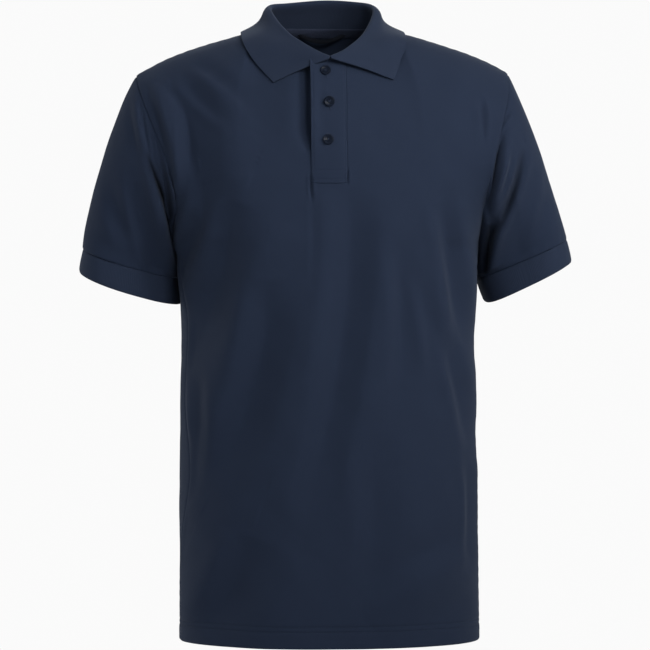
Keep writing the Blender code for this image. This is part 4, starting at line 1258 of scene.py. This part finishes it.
# ------------------------------------------------------------------ buttons
# Moulded resin buttons, 12.5 mm across, with a rolled rim, a sunk middle and four holes,
# each sewn on by a cross of thread and pushed through an upright worked buttonhole.
BUTTON_RADIUS, BUTTON_THICK = 6.25, 2.6
BUTTONS = (
    # x, z, tilt in degrees
    (-5.5, -55.5, 0.0),
    (-2.3, -92.5, 18.0),
    (-4.4, -136.2, 0.0),
)
BUTTON_SHAPE = (
    # radius, height, as parts of the button's own
    (0.0, 0.04), (0.55, 0.02), (0.80, 0.06), (0.93, 0.24), (0.985, 0.44), (1.0, 0.62),
    (0.985, 0.80), (0.94, 0.93), (0.875, 0.99), (0.80, 0.96), (0.73, 0.86), (0.66, 0.74),
    (0.56, 0.65), (0.40, 0.57), (0.22, 0.52), (0.0, 0.50),
)
BUTTON_STEPS, BUTTON_SHARP = 56, math.radians(48)
HOLE_RADIUS, HOLE_PLACE, HOLE_STEPS = 0.75, 1.75, 20
RESIN, RESIN_CLOUD = (0.0045, 0.0070, 0.0140, 1.0), (0.0070, 0.0105, 0.0200, 1.0)


def resin_material():
    """Cast resin: a faint cloudy depth under a polished skin."""
    made, tree, shader = new_material("navy_resin", 0.24, 0.07)
    place = add_node(tree, "ShaderNodeTexCoord").outputs[3]
    cloud, scuffs = speckle(tree, place, 420.0, 3.0), speckle(tree, place, 1500.0, 2.0)
    dress(tree, shader, mixed(tree, cloud, RESIN, RESIN_CLOUD), scuffs, 0.06, 0.05)
    return made


NAVY_RESIN = resin_material()
CORNERS = [(x, y) for x in (-1, 1) for y in (-1, 1)]


def button_mesh():
    """The turned form with its four holes drilled through."""
    bm = bmesh.new()
    points = [
        bm.verts.new((r * BUTTON_RADIUS * MM, 0, h * BUTTON_THICK * MM)) for r, h in BUTTON_SHAPE
    ]
    edges = [bm.edges.new(pair) for pair in zip(points, points[1:])]
    bmesh.ops.spin(bm, geom=points + edges, cent=(0, 0, 0), axis=(0, 0, 1), angle=math.tau,
                   steps=BUTTON_STEPS, use_merge=True)
    bmesh.ops.remove_doubles(bm, verts=bm.verts, dist=0.01 * MM)
    bmesh.ops.recalc_face_normals(bm, faces=bm.faces)
    blank = finished("button_blank", bm)
    bm = bmesh.new()
    for x, y in CORNERS:
        spot = Vector((x, y, 0)).normalized() * HOLE_PLACE * MM
        bmesh.ops.create_cone(
            bm, cap_ends=True, segments=HOLE_STEPS, depth=4 * BUTTON_THICK * MM,
            radius1=HOLE_RADIUS * MM, radius2=HOLE_RADIUS * MM, matrix=Matrix.Translation(spot),
        )
    drill = finished("button_drill", bm)
    cut = blank.modifiers.new("holes", "BOOLEAN")
    cut.object = drill
    cut.operation = "DIFFERENCE"
    graph = bpy.context.evaluated_depsgraph_get()
    mesh = bpy.data.meshes.new_from_object(blank.evaluated_get(graph))
    for used in (blank, drill):
        bpy.data.objects.remove(used, do_unlink=True)
    return mesh


def placket_frame(x, z, lift):
    """Where something sits on the placket: axes across, up and out, and its place."""
    across, up = find_on_panel(FRONT, np.array([x]), np.array([z]))
    places, out = panel_and_out(FRONT, across, up, lift)
    out = Vector(out[0])
    rise = out.cross(Vector((1, 0, 0))).normalized()
    turned = Matrix((rise.cross(out), rise, out)).transposed().to_4x4()
    return Matrix.Translation(Vector(places[0])) @ turned


def bead_on(bm, frame, place, along, length, radius):
    """A bead laid on the placket or a button, placed and turned on its own axes."""
    turned = frame.to_3x3()
    middle = frame @ Vector([value * MM for value in place])
    lay_bead(bm, middle, turned @ Vector(along), turned @ Vector((0, 0, 1)), length, radius)


SKIN = STRIP_LIFT + STRIP_WALL / 2
BUTTON_SEAT, THREAD_SEAT = 0.75, 0.35
CROSS_HEIGHT, CROSS_STRANDS, CROSS_PILE = 0.62, (-0.22, 0.22), 0.4
CROSS_LENGTH, CROSS_THREAD = 4.1, 0.26
BUTTONHOLE_LENGTH, BUTTONHOLE_DROP = 15.5, 1.0
BAR_PITCH, BAR_LENGTH, BAR_APART, BAR_THREAD = 0.55, 1.7, 1.15, 0.30
TACK_REACH, TACK_LENGTH, TACK_BEYOND, TACK_COUNT = 1.7, 1.8, 1.0, 8

turned_button = button_mesh()
for number, (x, z, tilt) in enumerate(BUTTONS, start=1):
    tilt = math.radians(tilt)
    seat = placket_frame(x, z, SKIN + BUTTON_SEAT + BUTTON_RADIUS * math.sin(tilt))
    seat = seat @ Matrix.Rotation(tilt, 4, "X")
    bm = bmesh.new()
    bm.from_mesh(turned_button)
    bmesh.ops.transform(bm, matrix=seat, verts=bm.verts)
    button = finished("button_%d_resin" % number, bm, NAVY_RESIN)
    button.data.set_sharp_from_angle(angle=BUTTON_SHARP)
    belongs(button, "button", "button_%d" % number)

    bm = bmesh.new()
    for corner in CORNERS[:2]:
        spot = Vector((*corner, 0)).normalized() * HOLE_PLACE
        for beside in CROSS_STRANDS:
            shift = Vector((spot.y, -spot.x, 0)).normalized() * beside
            top = CROSS_HEIGHT * BUTTON_THICK + abs(beside) * CROSS_PILE
            bead_on(bm, seat, (shift.x, shift.y, top), spot, CROSS_LENGTH, CROSS_THREAD)
    cross = finished("button_%d_thread" % number, bm, NAVY_THREAD)
    belongs(cross, "button")

    bm = bmesh.new()
    skin = placket_frame(x, z, SKIN + THREAD_SEAT)
    count = int(BUTTONHOLE_LENGTH / BAR_PITCH)
    for step in range(count + 1):
        y = (step / count - 0.5) * BUTTONHOLE_LENGTH - BUTTONHOLE_DROP
        for beside in (-BAR_APART, BAR_APART):
            bead_on(bm, skin, (beside, y, 0.0), (1, 0, 0), BAR_LENGTH, BAR_THREAD)
    for end in (-0.5, 0.5):
        y = end * (BUTTONHOLE_LENGTH + TACK_BEYOND) - BUTTONHOLE_DROP
        for beside in np.linspace(-TACK_REACH, TACK_REACH, TACK_COUNT):
            bead_on(bm, skin, (beside, y, 0.0), (0, 1, 0), TACK_LENGTH, BAR_THREAD)
    hole = finished("buttonhole_%d" % number, bm, NAVY_THREAD)
    belongs(hole, "pique")


# ------------------------------------------------------------------ studio
# A pale floor well below the hem, a pale sky, two soft lights high on the wearer's left, low
# ones on both sides, two from behind, and a long lens level with the middle of the shirt.
FLOOR_Z, FLOOR_RADIUS = -1.0, 2.4
PALE, PALE_LOW = (0.86, 0.86, 0.86, 1.0), (0.82, 0.82, 0.82, 1.0)
CAMERA_AZIMUTH, CAMERA_DISTANCE, FRAME_HEIGHT, CAMERA_Z = math.radians(-4.0), 4.2, 0.769, -0.349

bm = bmesh.new()
bmesh.ops.create_circle(
    bm, cap_ends=True, segments=96, radius=FLOOR_RADIUS, matrix=Matrix.Translation((0, 0, FLOOR_Z))
)
paint, tree, shader = new_material("studio_floor", 0.9, 0.5)
grain = speckle(tree, add_node(tree, "ShaderNodeTexCoord").outputs[3], 6.0, 4.0)
tree.links.new(mixed(tree, grain, PALE_LOW, PALE), shader.inputs["Base Color"])
floor = finished("studio_floor", bm, paint)

world = bpy.data.worlds.new("studio")
bpy.context.scene.world = world
world.use_nodes = True
tree = world.node_tree
seen = tree.nodes["Background"]
seen.inputs["Color"].default_value = (0.96, 0.96, 0.96, 1.0)
seen.inputs["Strength"].default_value = 1.0
soft = add_node(tree, "ShaderNodeBackground", Color=(0.96, 0.98, 1.0, 1.0), Strength=0.44)
ray = add_node(tree, "ShaderNodeLightPath")
both = add_node(
    tree, "ShaderNodeMixShader",
    i0=ray.outputs["Is Camera Ray"], i1=soft.outputs[0], i2=seen.outputs[0],
)
tree.links.new(both.outputs[0], tree.nodes["World Output"].inputs["Surface"])

LIGHTS = (
    # name, place, aimed at, size, spread, watts
    ("key", (1.59, -1.16, 0.73), (0.08, -0.08, -0.14), 0.7, 45.0, 1.7),
    ("high", (0.73, -1.85, 0.73), (0.08, -0.08, -0.14), 0.7, 45.0, 1.85),
    ("fill", (-1.76, -1.53, -0.30), (0.0, -0.05, -0.30), 0.9, 180.0, 4.2),
    ("low_left", (2.08, -1.02, -0.30), (0.0, -0.05, -0.30), 0.9, 180.0, 2.7),
    ("rim", (-2.08, 0.97, 0.10), (0.0, -0.05, -0.30), 0.9, 180.0, 11.0),
    ("behind", (0.4, 2.6, 1.0), (0.0, 0.0, -0.3), 1.2, 180.0, 24.0),
)
for name, place, target, size, spread_angle, watts in LIGHTS:
    lamp = bpy.data.lights.new(name, "AREA")
    lamp.size = size
    lamp.spread = math.radians(spread_angle)
    lamp.energy = watts
    light = bpy.data.objects.new(name, lamp)
    light.location = place
    light.rotation_euler = (Vector(place) - Vector(target)).to_track_quat("Z", "Y").to_euler()
    bpy.context.scene.collection.objects.link(light)

lens = bpy.data.cameras.new("camera")
lens.angle = 2 * math.atan(FRAME_HEIGHT / 2 / CAMERA_DISTANCE)
camera = bpy.data.objects.new("camera", lens)
back_way = Vector((math.sin(CAMERA_AZIMUTH), -math.cos(CAMERA_AZIMUTH), 0.0))
camera.location = Vector((0.0, 0.0, CAMERA_Z)) + back_way * CAMERA_DISTANCE
camera.rotation_euler = back_way.to_track_quat("Z", "Y").to_euler()
bpy.context.scene.collection.objects.link(camera)
bpy.context.scene.camera = camera
bpy.context.scene.view_settings.view_transform = "Standard"
